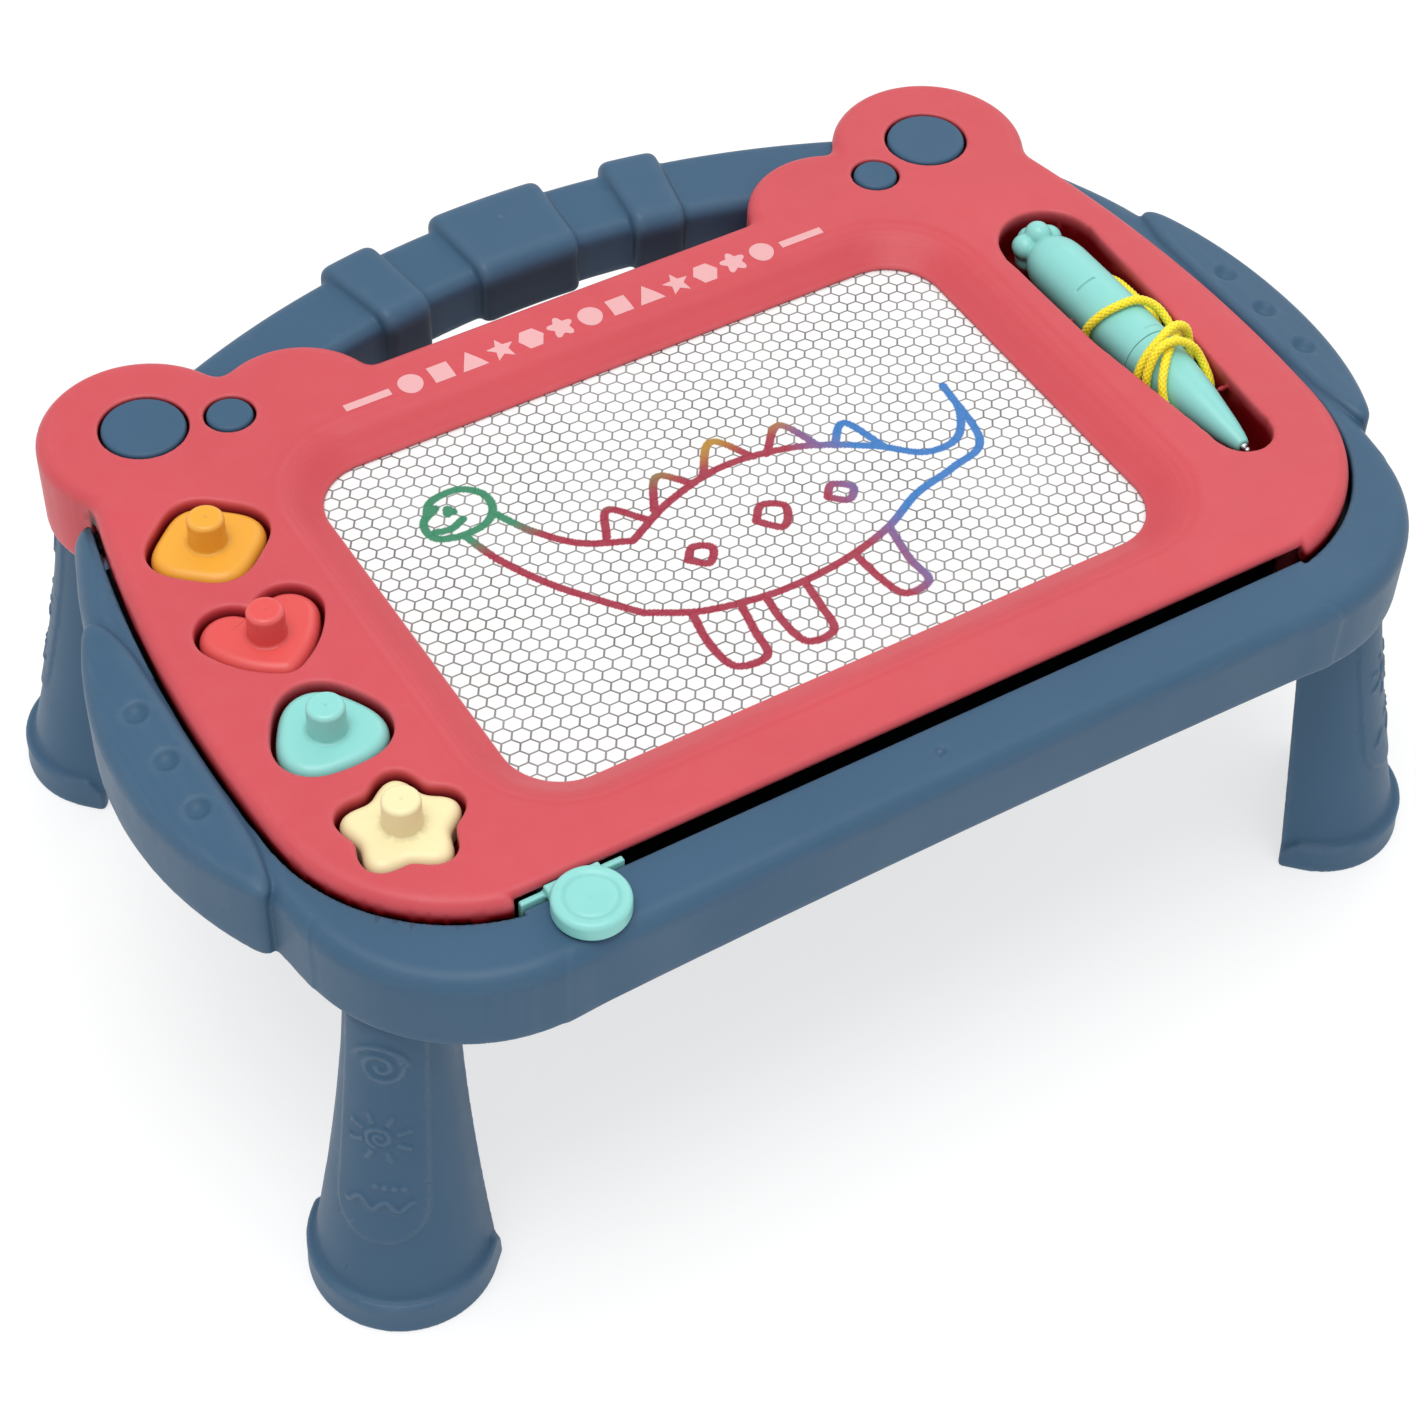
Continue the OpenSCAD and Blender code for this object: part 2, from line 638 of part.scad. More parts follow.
module leg_front_left() leg(foot_front, -1);
module leg_front_right() leg(foot_front, 1);
module leg_back_left() leg(foot_back, -1);
module leg_back_right() leg(foot_back, 1);

// ---- Screws ------------------------------------------------------------------------------

module screw(radius, length) {
    cylinder(r = head_r, h = head_h);
    cylinder(r = radius, h = length);
}

module case_screws() color(steel) at_desk() for (post = case_posts) translate([post[0], post[1], cover_z])
    screw(screw_r, 11);
module deck_screws() color(steel) at_desk() for (post = deck_posts) translate([post[0], post[1], cover_z])
    screw(screw_r, 12);
module rail_screws() color(steel) at_desk() for (x = rail_screw_x, y = [-rail_y - 3, rail_y + 3])
    translate([x, y, rail_top_z - rail_t]) {
        cylinder(r = 2.4, h = 1.4);
        cylinder(r = 1.1, h = 7);
    }

frame_shell();
bottom_cover();
deck_bezel();
ear_cap_large_left();
ear_cap_large_right();
ear_cap_small_left();
ear_cap_small_right();
screen_front_film();
screen_honeycomb();
screen_back_film();
screen_rail_front();
screen_rail_back();
eraser_slider();
eraser_magnet();
stamp_diamond();
stamp_heart();
stamp_triangle();
stamp_star();
magnet_diamond();
magnet_heart();
magnet_triangle();
magnet_star();
pen_barrel();
pen_cone();
pen_magnet();
pen_tip();
pen_cord();
leg_front_left();
leg_front_right();
leg_back_left();
leg_back_right();
case_screws();
deck_screws();
rail_screws();
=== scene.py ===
import json
import math
import bpy
import numpy as np
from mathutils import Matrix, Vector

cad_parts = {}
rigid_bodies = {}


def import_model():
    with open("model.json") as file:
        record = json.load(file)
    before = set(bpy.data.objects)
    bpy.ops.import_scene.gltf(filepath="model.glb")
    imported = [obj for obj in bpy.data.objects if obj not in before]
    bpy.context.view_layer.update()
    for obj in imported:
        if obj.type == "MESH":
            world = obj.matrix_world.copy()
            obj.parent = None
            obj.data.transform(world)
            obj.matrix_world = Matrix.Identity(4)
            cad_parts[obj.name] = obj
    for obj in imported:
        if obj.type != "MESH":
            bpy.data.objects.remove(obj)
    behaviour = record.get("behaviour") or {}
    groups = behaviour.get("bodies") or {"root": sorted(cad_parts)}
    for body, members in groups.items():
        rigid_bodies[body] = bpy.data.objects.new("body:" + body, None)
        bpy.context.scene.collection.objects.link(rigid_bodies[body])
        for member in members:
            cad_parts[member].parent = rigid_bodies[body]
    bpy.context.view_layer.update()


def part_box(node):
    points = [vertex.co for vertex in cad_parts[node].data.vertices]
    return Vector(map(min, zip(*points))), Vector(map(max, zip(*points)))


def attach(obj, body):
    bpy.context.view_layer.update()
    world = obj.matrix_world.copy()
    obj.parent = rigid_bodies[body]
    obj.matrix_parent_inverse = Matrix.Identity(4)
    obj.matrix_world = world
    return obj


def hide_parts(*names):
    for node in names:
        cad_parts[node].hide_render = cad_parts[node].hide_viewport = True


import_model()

import openvdb as vdb
from mathutils import Matrix, Vector

# Shapes are worked out in millimetres in the desk's own plan: x across, y towards the handle, both from
# the middle of the drawing window, and z up from the floor. to_row() turns them into the frame's metres.
MM = 0.001
screen_low, screen_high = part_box("screen_front_film")
WINDOW_Y = (screen_low[1] + screen_high[1]) / 2
f4 = np.float32


def to_row(points):
    return np.asarray(points, float) * MM + np.array([0.0, WINDOW_Y, 0.0])


def top_of(node):
    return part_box(node)[1][2] / MM


DECK_Z = 148.0
RIM_Z = 143.0
SKIRT_Z = 117.0
SCREEN_Z = 140.0
FILM_Z = top_of("screen_front_film")
WELL_Z = 136.0
TRAY_Z = 128.5
PEN_X, PEN_Z = 146.0, 142.0
HANDLE_Y = -137.5
HANDLE_MID, HANDLE_HALF, HANDLE_LOW = 280.25, 14.75, 124.0
STAMP_GAP = 1.3
DECK_GAP = 1.4
FRAME_SKIN = 2.5

# ---- Camera ----

CAMERA_AT = (-0.36893, WINDOW_Y - 0.56094, 0.79245)
CAMERA_LENS, SENSOR_WIDTH = 79.7, 36.0

camera_data = bpy.data.cameras.new("camera")
camera_data.lens = CAMERA_LENS
camera_data.sensor_width = SENSOR_WIDTH
camera_data.clip_start = 0.01
camera = bpy.data.objects.new("camera", camera_data)
bpy.context.scene.collection.objects.link(camera)
HEADING, TILT, ROLL = (math.radians(a) for a in (-32.80, 42.09, 2.084))
camera.matrix_world = (Matrix.Translation(Vector(CAMERA_AT))
                       @ Matrix.Rotation(HEADING, 4, "Z") @ Matrix.Rotation(TILT, 4, "X")
                       @ Matrix.Rotation(ROLL, 4, "Z"))
bpy.context.scene.camera = camera

# ---- Materials ----


def srgb(*parts):
    """A linear colour from screen values of 0 to 255."""
    linear = tuple((c / 255) / 12.92 if c <= 10 else ((c / 255 + 0.055) / 1.055) ** 2.4 for c in parts)
    return linear + (1.0,)


class Nodes:
    """A short way to write a material's node tree."""

    def __init__(self, name):
        self.material = bpy.data.materials.new(name)
        self.material.use_nodes = True
        self.tree = self.material.node_tree
        self.tree.nodes.clear()
        self.out = self.tree.nodes.new("ShaderNodeOutputMaterial")
        self.shader = self.tree.nodes.new("ShaderNodeBsdfPrincipled")
        self.tree.links.new(self.shader.outputs[0], self.out.inputs["Surface"])
        self.place = self.tree.nodes.new("ShaderNodeTexCoord").outputs["Object"]

    def link(self, source, target):
        if isinstance(source, bpy.types.NodeSocket):
            self.tree.links.new(source, target)
        else:
            target.default_value = source

    def set(self, socket, value):
        self.link(value, self.shader.inputs[socket])

    def math(self, kind, a, b=0.0, c=0.0, clamp=False):
        n = self.tree.nodes.new("ShaderNodeMath")
        n.operation = kind
        n.use_clamp = clamp
        for i, v in enumerate((a, b, c)):
            self.link(v, n.inputs[i])
        return n.outputs[0]

    def noise(self, scale, detail=2.0, rough=0.5, place=None):
        n = self.tree.nodes.new("ShaderNodeTexNoise")
        n.inputs["Scale"].default_value = scale
        n.inputs["Detail"].default_value = detail
        n.inputs["Roughness"].default_value = rough
        self.tree.links.new(place or self.place, n.inputs["Vector"])
        return n.outputs["Fac"]

    def ramp(self, value, low, high, to_low=0.0, to_high=1.0):
        n = self.tree.nodes.new("ShaderNodeMapRange")
        n.inputs["From Min"].default_value = low
        n.inputs["From Max"].default_value = high
        n.inputs["To Min"].default_value = to_low
        n.inputs["To Max"].default_value = to_high
        self.link(value, n.inputs["Value"])
        return n.outputs["Result"]

    def mix(self, factor, a, b):
        n = self.tree.nodes.new("ShaderNodeMix")
        n.data_type = "RGBA"
        self.link(factor, n.inputs["Factor"])
        for key, v in (("A", a), ("B", b)):
            socket = [s for s in n.inputs if s.name == key and s.type == "RGBA"][0]
            self.link(v, socket)
        return [s for s in n.outputs if s.type == "RGBA"][0]

    def bump(self, height, strength, distance, normal=None):
        n = self.tree.nodes.new("ShaderNodeBump")
        n.inputs["Strength"].default_value = strength
        n.inputs["Distance"].default_value = distance
        self.link(height, n.inputs["Height"])
        if normal is not None:
            self.tree.links.new(normal, n.inputs["Normal"])
        return n.outputs["Normal"]

    def attribute(self, name):
        n = self.tree.nodes.new("ShaderNodeAttribute")
        n.attribute_name = name
        return n.outputs["Fac"]


def shade(colour, k):
    """A colour made k times as bright."""
    return tuple(min(c * k, 1.0) for c in colour[:3]) + (1.0,)


def plastic(name, colour, rough, grain=0.12, gloss=0.22, paling=0.10, shadow=None, painted_shade_above=None):
    """Moulded plastic: fine mould texture, slow colour drift, a painted highlight on convex edges and
    painted shade in hollows.

    shadow is the colour of the painted shade in the gaps and hollows that a mesh's stored mask marks, and
    above the given height, in metres, the colour is painted near black as shade.
    """
    m = Nodes(name)
    drift = m.noise(14.0, 3.0, 0.55)
    speck = m.noise(420.0, 2.0, 0.6)
    base = m.mix(m.ramp(drift, 0.3, 0.7), shade(colour, 0.965), shade(colour, 1.035))
    base = m.mix(m.ramp(speck, 0.35, 0.75, 0.0, 0.06), base, shade(colour, 1.25))
    curve = m.attribute("curve")
    patchy = m.noise(95.0, 3.0, 0.6)
    # Painted highlight: convex edges are painted paler, in patches, and made a little smoother
    edge_highlight = m.math("MULTIPLY", m.ramp(curve, 0.08, 0.75), m.ramp(patchy, 0.3, 0.7, 0.35, 1.0), clamp=True)
    highlight_colour = tuple(c + (1 - c) * 0.35 for c in colour[:3]) + (1.0,)
    base = m.mix(m.math("MULTIPLY", edge_highlight, paling), base, highlight_colour)
    # Painted shade: concave places, such as creases and hollows, are painted darker
    sunk = m.ramp(curve, -0.05, -0.6)
    base = m.mix(m.math("MULTIPLY", sunk, 0.25), base, shade(colour, 0.62))
    # Painted shade: above this height the colour goes near black, as shade in the closed hollow
    if painted_shade_above is not None:
        where = m.tree.nodes.new("ShaderNodeNewGeometry").outputs["Position"]
        parts = m.tree.nodes.new("ShaderNodeSeparateXYZ")
        m.tree.links.new(where, parts.inputs[0])
        base = m.mix(m.ramp(parts.outputs[2], painted_shade_above, painted_shade_above + 0.003), base, shade(colour, 0.08))
    if shadow is not None:
        # Painted shade: where the stored mask is high the colour goes to the shadow colour, and near black
        # where it is highest
        painted_shade = m.attribute("painted_shade")
        base = m.mix(m.ramp(painted_shade, 0.0, 0.8), base, shadow)
        base = m.mix(m.ramp(painted_shade, 0.8, 1.0), base, shade(shadow, 0.12))
    m.set("Base Color", base)
    fine = m.noise(1900.0, 2.0, 0.55)
    smear = m.noise(38.0, 4.0, 0.6)
    level = m.ramp(smear, 0.3, 0.7, rough - 0.045, rough + 0.045)
    level = m.math("ADD", level, m.ramp(fine, 0.3, 0.7, -0.03, 0.03))
    m.set("Roughness", m.math("SUBTRACT", level, m.math("MULTIPLY", edge_highlight, 0.06)))
    m.set("Specular IOR Level", gloss)
    waves = m.noise(60.0, 2.0, 0.5)
    normal = m.bump(waves, 0.10, 0.0004)
    m.set("Normal", m.bump(fine, grain, 0.00012, normal))
    return m.material


CORAL = srgb(196, 74, 82)
BLUE = srgb(58, 89, 115)
TEAL = srgb(134, 204, 198)
ORANGE = srgb(226, 160, 50)
HEART = srgb(214, 80, 78)
CREAM = srgb(232, 220, 172)

coral = plastic("coral_plastic", CORAL, 0.43, shadow=srgb(120, 4, 10))
blue = plastic("blue_plastic", BLUE, 0.46, shadow=srgb(8, 14, 22))
# Painted shade: the cover is near black above 117.5 mm, where it shows through the slot inside the frame
cover_with_painted_shade = plastic("cover_plastic_painted_shade", BLUE, 0.46, painted_shade_above=0.1175)
teal = plastic("teal_plastic", TEAL, 0.34, grain=0.05, gloss=0.36)
orange = plastic("orange_plastic", ORANGE, 0.36, grain=0.06, gloss=0.34)
heart_red = plastic("red_plastic", HEART, 0.36, grain=0.06, gloss=0.34)
cream = plastic("cream_plastic", CREAM, 0.38, grain=0.06, gloss=0.3)
ink = plastic("print_ink", srgb(218, 164, 166), 0.5, paling=0.0)
rail_white = plastic("rail_plastic", srgb(214, 214, 212), 0.5)
backing = plastic("backing_sheet", srgb(225, 225, 222), 0.35)


def steel_material():
    m = Nodes("plated_steel")
    m.set("Metallic", 1.0)
    brushed = m.noise(700.0, 3.0, 0.7)
    m.set("Base Color", m.mix(brushed, srgb(176, 178, 182), srgb(214, 215, 218)))
    m.set("Roughness", m.ramp(brushed, 0.3, 0.7, 0.2, 0.36))
    m.set("Normal", m.bump(brushed, 0.1, 0.00005))
    return m.material


def magnet_material():
    m = Nodes("bonded_magnet")
    grain = m.noise(900.0, 4.0, 0.7)
    m.set("Base Color", m.mix(grain, srgb(34, 33, 34), srgb(66, 64, 64)))
    m.set("Roughness", m.ramp(grain, 0.3, 0.7, 0.55, 0.75))
    m.set("Normal", m.bump(grain, 0.3, 0.0001))
    return m.material


steel = steel_material()
magnet = magnet_material()

# ---- Signed distances on grids ----


class Grid:
    """Sample points on an even grid, as three open arrays, in millimetres."""

    def __init__(self, low, high, step):
        self.low, self.step = np.array(low, float), step
        self.n = [int(math.ceil((h - l) / step)) + 1 for l, h in zip(low, high)]
        axes = [(l + step * np.arange(n)).astype(f4) for l, n in zip(low, self.n)]
        self.x = axes[0][:, None, None]
        self.y = axes[1][None, :, None]
        self.z = axes[2][None, None, :]


def hyp(*parts):
    return np.sqrt(sum(p * p for p in parts))


def circle(x, y, cx, cy, r):
    return hyp(x - cx, y - cy) - r


def rect(x, y, x0, x1, y0, y1):
    u = np.maximum(x0 - x, x - x1)
    v = np.maximum(y0 - y, y - y1)
    return np.minimum(np.maximum(u, v), 0) + hyp(np.maximum(u, 0), np.maximum(v, 0))


def join(a, b, k):
    """Smooth union of two distances."""
    h = np.maximum(k - np.abs(a - b), 0) / k
    return np.minimum(a, b) - h * h * k / 4


def meet(a, b, k):
    """Smooth overlap of two distances."""
    return -join(-a, -b, k)


def rounded(d, w, r):
    """An outline's distance d and a height w above its top, with an edge of radius r between them."""
    u, v = d + r, w + r
    return np.minimum(np.maximum(u, v), 0) + hyp(np.maximum(u, 0), np.maximum(v, 0)) - r


def polyline(x, y, points):
    """Distance to an open line of straight stretches."""
    shape = np.broadcast(x, y).shape
    best = np.full(shape, 1e9, f4)
    for (ax, ay), (bx, by) in zip(points[:-1], points[1:]):
        ex, ey = bx - ax, by - ay
        px, py = x - ax, y - ay
        t = np.clip((px * ex + py * ey) / max(ex * ex + ey * ey, 1e-12), 0, 1)
        best = np.minimum(best, (px - t * ex) ** 2 + (py - t * ey) ** 2)
    return np.sqrt(best)


def polygon(x, y, points):
    """Signed distance to a closed polygon."""
    inside = np.zeros(np.broadcast(x, y).shape, bool)
    for (ax, ay), (bx, by) in zip(points, points[1:] + points[:1]):
        if ay != by:
            inside ^= ((ay > y) != (by > y)) & (x - ax < (bx - ax) * (y - ay) / (by - ay))
    away = polyline(x, y, points + points[:1])
    return np.where(inside, -away, away)


def sampled(field, grid, points):
    """Values of a field at points, linear between its samples."""
    q = (points - grid.low) / grid.step
    cell = np.clip(np.floor(q).astype(int), 0, np.array(grid.n) - 2)
    t = q - cell
    total = 0.0
    for i in (0, 1):
        for j in (0, 1):
            for k in (0, 1):
                share = ((t[:, 0] if i else 1 - t[:, 0]) * (t[:, 1] if j else 1 - t[:, 1])
                         * (t[:, 2] if k else 1 - t[:, 2]))
                total = total + share * field[cell[:, 0] + i, cell[:, 1] + j, cell[:, 2] + k]
    return total


def slopes(field, grid, points):
    """Gradient of a field at points."""
    d = 0.5 * grid.step
    return np.stack([(sampled(field, grid, points + s) - sampled(field, grid, points - s)) / (2 * d)
                     for s in np.eye(3) * d], axis=1)


def link(obj):
    bpy.context.scene.collection.objects.link(obj)
    return obj


def mesh_object(name, points, faces, material, normals=None, smooth=True):
    """A mesh object from points in the frame's metres."""
    mesh = bpy.data.meshes.new(name)
    mesh.from_pydata(np.asarray(points).tolist(), [], [tuple(f) for f in faces])
    mesh.materials.append(material)
    mesh.polygons.foreach_set("use_smooth", [smooth] * len(mesh.polygons))
    mesh.update()
    if normals is not None:
        mesh.normals_split_custom_set_from_vertices(np.asarray(normals).tolist())
    return link(bpy.data.objects.new(name, mesh))


def store(obj, name, values):
    """A number per vertex, for the material to read."""
    layer = obj.data.attributes.new(name, "FLOAT", "POINT")
    layer.data.foreach_set("value", np.asarray(values, f4))


def field_mesh(name, field, grid, material, adaptivity=0.0, place=None, painted_shade=None):
    """The surface of a distance field, with normals and curvature read from the field itself."""
    field = np.ascontiguousarray(np.broadcast_to(field, grid.n), dtype=f4)
    band = 3 * grid.step
    volume = vdb.FloatGrid()
    volume.background = band
    volume.copyFromArray(np.clip(field, -band, band))
    points, triangles, quads = volume.convertToPolygons(0.0, adaptivity)
    points = np.asarray(points, float) * grid.step + grid.low
    inner = grid.low + grid.step
    outer = grid.low + grid.step * (np.array(grid.n) - 2)
    for _ in range(2):
        g = slopes(field, grid, points)
        away = sampled(field, grid, points)
        move = (away / np.maximum((g * g).sum(1), 0.25))[:, None] * g
        points = np.clip(points - np.clip(move, -0.5 * grid.step, 0.5 * grid.step), inner, outer)
    normals = slopes(field, grid, points)
    normals /= np.maximum(np.linalg.norm(normals, axis=1, keepdims=True), 1e-6)
    reach = 1.2 * grid.step
    curve = sum(sampled(field, grid, np.clip(points + s, grid.low, outer + grid.step))
                + sampled(field, grid, np.clip(points - s, grid.low, outer + grid.step))
                for s in np.eye(3) * reach) - 6 * sampled(field, grid, points)
    curve /= reach * reach
    faces = [tuple(f) for f in np.asarray(triangles)] + [tuple(f) for f in np.asarray(quads)]
    first = faces[0]
    a, b, c = (points[i] for i in first[:3])
    if np.dot(np.cross(b - a, c - a), normals[list(first)].mean(0)) < 0:
        faces = [f[::-1] for f in faces]
    at = points if place is None else place(points)
    out = normals if place is None else place(points + normals) - at
    obj = mesh_object(name, to_row(at), faces, material, out)
    store(obj, "curve", curve)
    if painted_shade is not None:
        painted_shade = np.ascontiguousarray(np.broadcast_to(painted_shade, grid.n), dtype=f4)
        store(obj, "painted_shade", sampled(painted_shade, grid, points))
    print(name, len(points), "points", len(faces), "faces")
    return obj


# ---- Cord ----

# The cord's route round the pen, as part.scad has it: turn in degrees, distance along the pen, distance
# from its axis, in millimetres.
CORD_ROUTE = [
    (-70, 45, 9.6), (-55, 40, 11.6), (-20, 32, 11.6), (4, 24, 11.6), (8, 12, 11.6), (0, 3, 11.6),
    (-45, -2, 11.6), (-90, 1, 11.4), (-135, 8, 11.7), (-180, 9, 11.6), (-220, 7, 11.6), (-255, 5, 11.6),
    (-300, 4, 11.8), (-325, 1, 12.4), (-345, -4, 12), (-365, -7, 11.5), (-405, -9, 11.2), (-450, -12, 10.9),
    (-495, -16, 10.8), (-535, -17, 10.8), (-580, -16, 10.8), (-617, -15, 12), (-650, -13, 13.9),
    (-672, -13, 14), (-695, -13.8, 12.2), (-720, -16, 10.6), (-765, -20, 10.3), (-810, -22, 10.2),
    (-855, -23, 10.2), (-892, -22, 10.4),
    (-935, -20, 11.4), (-965, -19, 13.6), (-987, -19, 13.7), (-1015, -20, 12), (-1050, -22, 10.6),
    (-1085, -28, 9.6), (-1125, -32, 9), (-1170, -34, 8.8), (-1215, -34, 8.8), (-1250, -31, 9.2),
    (-1300, -25, 10), (-1342, -19, 10.3), (-1380, -13.6, 10.5), (-1415, -10.6, 10.7), (-1450, -10.4, 10.7),
    (-1478, -12, 10.8), (-1495, -13.2, 10.8),
]
CORD_D = 3.0


def smooth_route(route, steps):
    """A curve through every point of a route, with even tangents."""
    p = np.array(route, float)
    p = np.vstack([2 * p[0] - p[1], p, 2 * p[-1] - p[-2]])
    out = []
    for i in range(1, len(p) - 2):
        for t in np.linspace(0, 1, steps, endpoint=False):
            a, b, c, d = p[i - 1:i + 3]
            out.append(0.5 * (2 * b + (c - a) * t + (2 * a - 5 * b + 4 * c - d) * t ** 2
                              + (3 * b - a - 3 * c + d) * t ** 3))
    return np.array(out + [p[-2]])


def cord_points():
    turn, along, away = smooth_route(CORD_ROUTE, 24).T
    a = np.radians(turn)
    return np.stack([PEN_X + away * np.cos(a), along, PEN_Z + away * np.sin(a)], axis=1)


def evenly(points, spacing):
    """The same line with its points an even distance apart."""
    run = np.concatenate([[0], np.cumsum(np.linalg.norm(np.diff(points, axis=0), axis=1))])
    at = np.linspace(0, run[-1], int(round(run[-1] / spacing)) + 1)
    return np.stack([np.interp(at, run, points[:, i]) for i in range(3)], axis=1), at


def braided_tube(name, path, run, diameter, material, sides=36, strands=5, step=1.7, relief=0.3):
    """A round braid: two sets of strands that wind opposite ways and pass over and under each other."""
    tangent = np.gradient(path, axis=0)
    tangent /= np.linalg.norm(tangent, axis=1, keepdims=True)
    side = np.cross(tangent[0], [0.3, 0.2, 1.0])
    frames = []
    for t in tangent:
        side = side - t * np.dot(side, t)
        side = side / np.linalg.norm(side)
        frames.append((side, np.cross(t, side)))
    points, tint = [], []
    a = 2 * math.pi * np.arange(sides) / sides
    for centre, s, (u, v) in zip(path, run, frames):
        right = strands * np.arange(sides) / sides + s / step
        left = strands * np.arange(sides) / sides - s / step + 64
        over = (np.floor(right) + np.floor(left)) % 2 == 0
        p, q = np.sin(math.pi * (right % 1)), np.sin(math.pi * (left % 1))
        height = np.where(over, q ** 0.5 * (0.45 + 0.55 * p), p ** 0.5 * (0.45 + 0.55 * q))
        r = diameter / 2 - relief * (1 - height)
        points.append(centre + r[:, None] * (np.cos(a)[:, None] * u + np.sin(a)[:, None] * v))
        tint.append(height)
    points, tint = np.vstack(points), np.concatenate(tint)
    rings = len(path)
    last = (rings - 1) * sides
    faces = [(a + j, a + (j + 1) % sides, a + sides + (j + 1) % sides, a + sides + j)
             for a in range(0, last, sides) for j in range(sides)]
    faces += [tuple(range(sides))[::-1], tuple(last + j for j in range(sides))]
    obj = mesh_object(name, to_row(points), faces, material)
    store(obj, "weave", tint)
    return obj


def cord_material():
    m = Nodes("braided_cord")
    weave = m.attribute("weave")
    fuzz = m.noise(1600.0, 3.0, 0.6)
    paling = m.noise(120.0, 2.0, 0.5)
    # Painted shade: the weave's low places, between and under strands, are painted darker than the strand
    # tops
    painted_shade, bright = srgb(186, 156, 6), srgb(250, 232, 30)
    base = m.mix(m.ramp(weave, 0.1, 0.62), painted_shade, bright)
    base = m.mix(m.ramp(paling, 0.4, 0.7, 0.0, 0.15), base, srgb(240, 224, 90))
    base = m.mix(m.ramp(fuzz, 0.45, 0.8, 0.0, 0.3), base, srgb(244, 226, 70))
    m.set("Base Color", base)
    m.set("Roughness", m.ramp(fuzz, 0.3, 0.7, 0.45, 0.75))
    m.set("Sheen Weight", 0.3)
    m.set("Sheen Roughness", 0.4)
    m.set("Normal", m.bump(fuzz, 0.5, 0.00012))
    return m.material


CORD_STEP = 0.26

cord_line, cord_run = evenly(cord_points(), CORD_STEP)
cord_piece = braided_tube("cord", cord_line, cord_run, CORD_D, cord_material())
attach(cord_piece, "pen")
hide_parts("pen_cord")

# ---- The deck's plan ----

# Circles are (x, y, radius) on the right-hand side, and the left-hand side mirrors them
EAR_Y = 89.5
EAR, LOBE = (142.0, 109.5, 32.0), (96.0, 97.0, 27.5)
DECK_CORNER, DECK_SIDE = (119.0, -47.5, 58.5), (-260.8, -12.0, 440.0)
DECK_HALF, DECK_FRONT, DECK_BACK = 119.0, -106.0, 103.0
DECK_EDGE, DECK_SKIN = 4.6, 2.0
WINDOW_HALF, WINDOW_CORNER, WINDOW_SLOPE = (108.0, 70.85), 18.0, 0.66
SLOT_HALF, SLOT_Y, SLOT_LIP = 132.0, 102.0, 3.5
WELLS = {
    "diamond": (-145.0, 57.0), "heart": (-146.3, 15.2), "triangle": (-147.8, -25.5), "star": (-145.5, -65.5),
}
CAPS = {"large": (141.3, 110.0, 13.0), "small": (116.4, 102.6, 7.3)}


def deck_plan(x, y):
    """Distance to the deck's outline, ears and all."""
    ax = np.abs(x)
    front = rect(ax, y, -10, DECK_HALF, DECK_FRONT, DECK_BACK)
    side = np.maximum(np.maximum(circle(ax, y, *DECK_SIDE), -53.0 - y), y - DECK_BACK)
    core = join(np.minimum(circle(ax, y, *DECK_CORNER), front), side, 0.4)
    ears = join(circle(ax, y, *EAR), circle(ax, y, *LOBE), 7)
    return join(core, ears, 4)


def window_plan(x, y):
    """Distance to the drawing window's outline."""
    u = np.abs(x) - WINDOW_HALF[0] + WINDOW_CORNER
    v = np.abs(y) - WINDOW_HALF[1] + WINDOW_CORNER
    return np.minimum(np.maximum(u, v), 0) + hyp(np.maximum(u, 0), np.maximum(v, 0)) - WINDOW_CORNER


def lobed(x, y, radius, swell, count, turn, stretch=0.0):
    """Distance to an outline whose radius swells and shrinks round the circle."""
    a = np.arctan2(y, x)
    r = hyp(x, y)
    wave = count * (a - math.radians(turn))
    slope = -(swell * count * np.sin(wave) + 2 * stretch * np.sin(2 * a)) / np.maximum(r, 3)
    return (r - radius - swell * np.cos(wave) - stretch * np.cos(2 * a)) / np.sqrt(1 + slope * slope)


def heart_plan(x, y):
    """Two lobes and a round tip, joined by arcs that touch them."""
    lobes = join(circle(x, y, 8.9, 5.2, 9.1), circle(x, y, -8.9, 5.2, 9.1), 2.5)
    px, py = np.abs(x) + 13.9, y - 15.2
    side = hyp(px, py) - 34.0
    tip = circle(x, y, 0, -10.8, 4.5)
    return np.where(22.8 * py + 10.0 * px > 0, lobes, np.where(13.9 * py + 26.0 * px < 0, tip, side))


def stamp_plan(shape, x, y):
    if shape == "heart":
        return heart_plan(x, y)
    lobes = {"diamond": (16.0, 1.0, 4, 0, 0.5), "triangle": (15.6, 1.3, 3, 90), "star": (15.2, 2.0, 5, 0)}
    return lobed(x, y, *lobes[shape])


def tray_plan(x, y):
    middle = polygon(x, y, [(130, 46), (162, 46), (160.5, 10), (155.5, -55), (136.5, -55), (130.5, 0)])
    return join(join(circle(x, y, 146, 46, 16), middle, 1.5), circle(x, y, 146, -55, 9.5), 1.5)


def deck_top(x, y):
    """The height of the deck's top, which slopes down to the window."""
    window = window_plan(x, y)
    return join(SCREEN_Z + 0.2 + WINDOW_SLOPE * window, np.full_like(window, DECK_Z), 3.5)


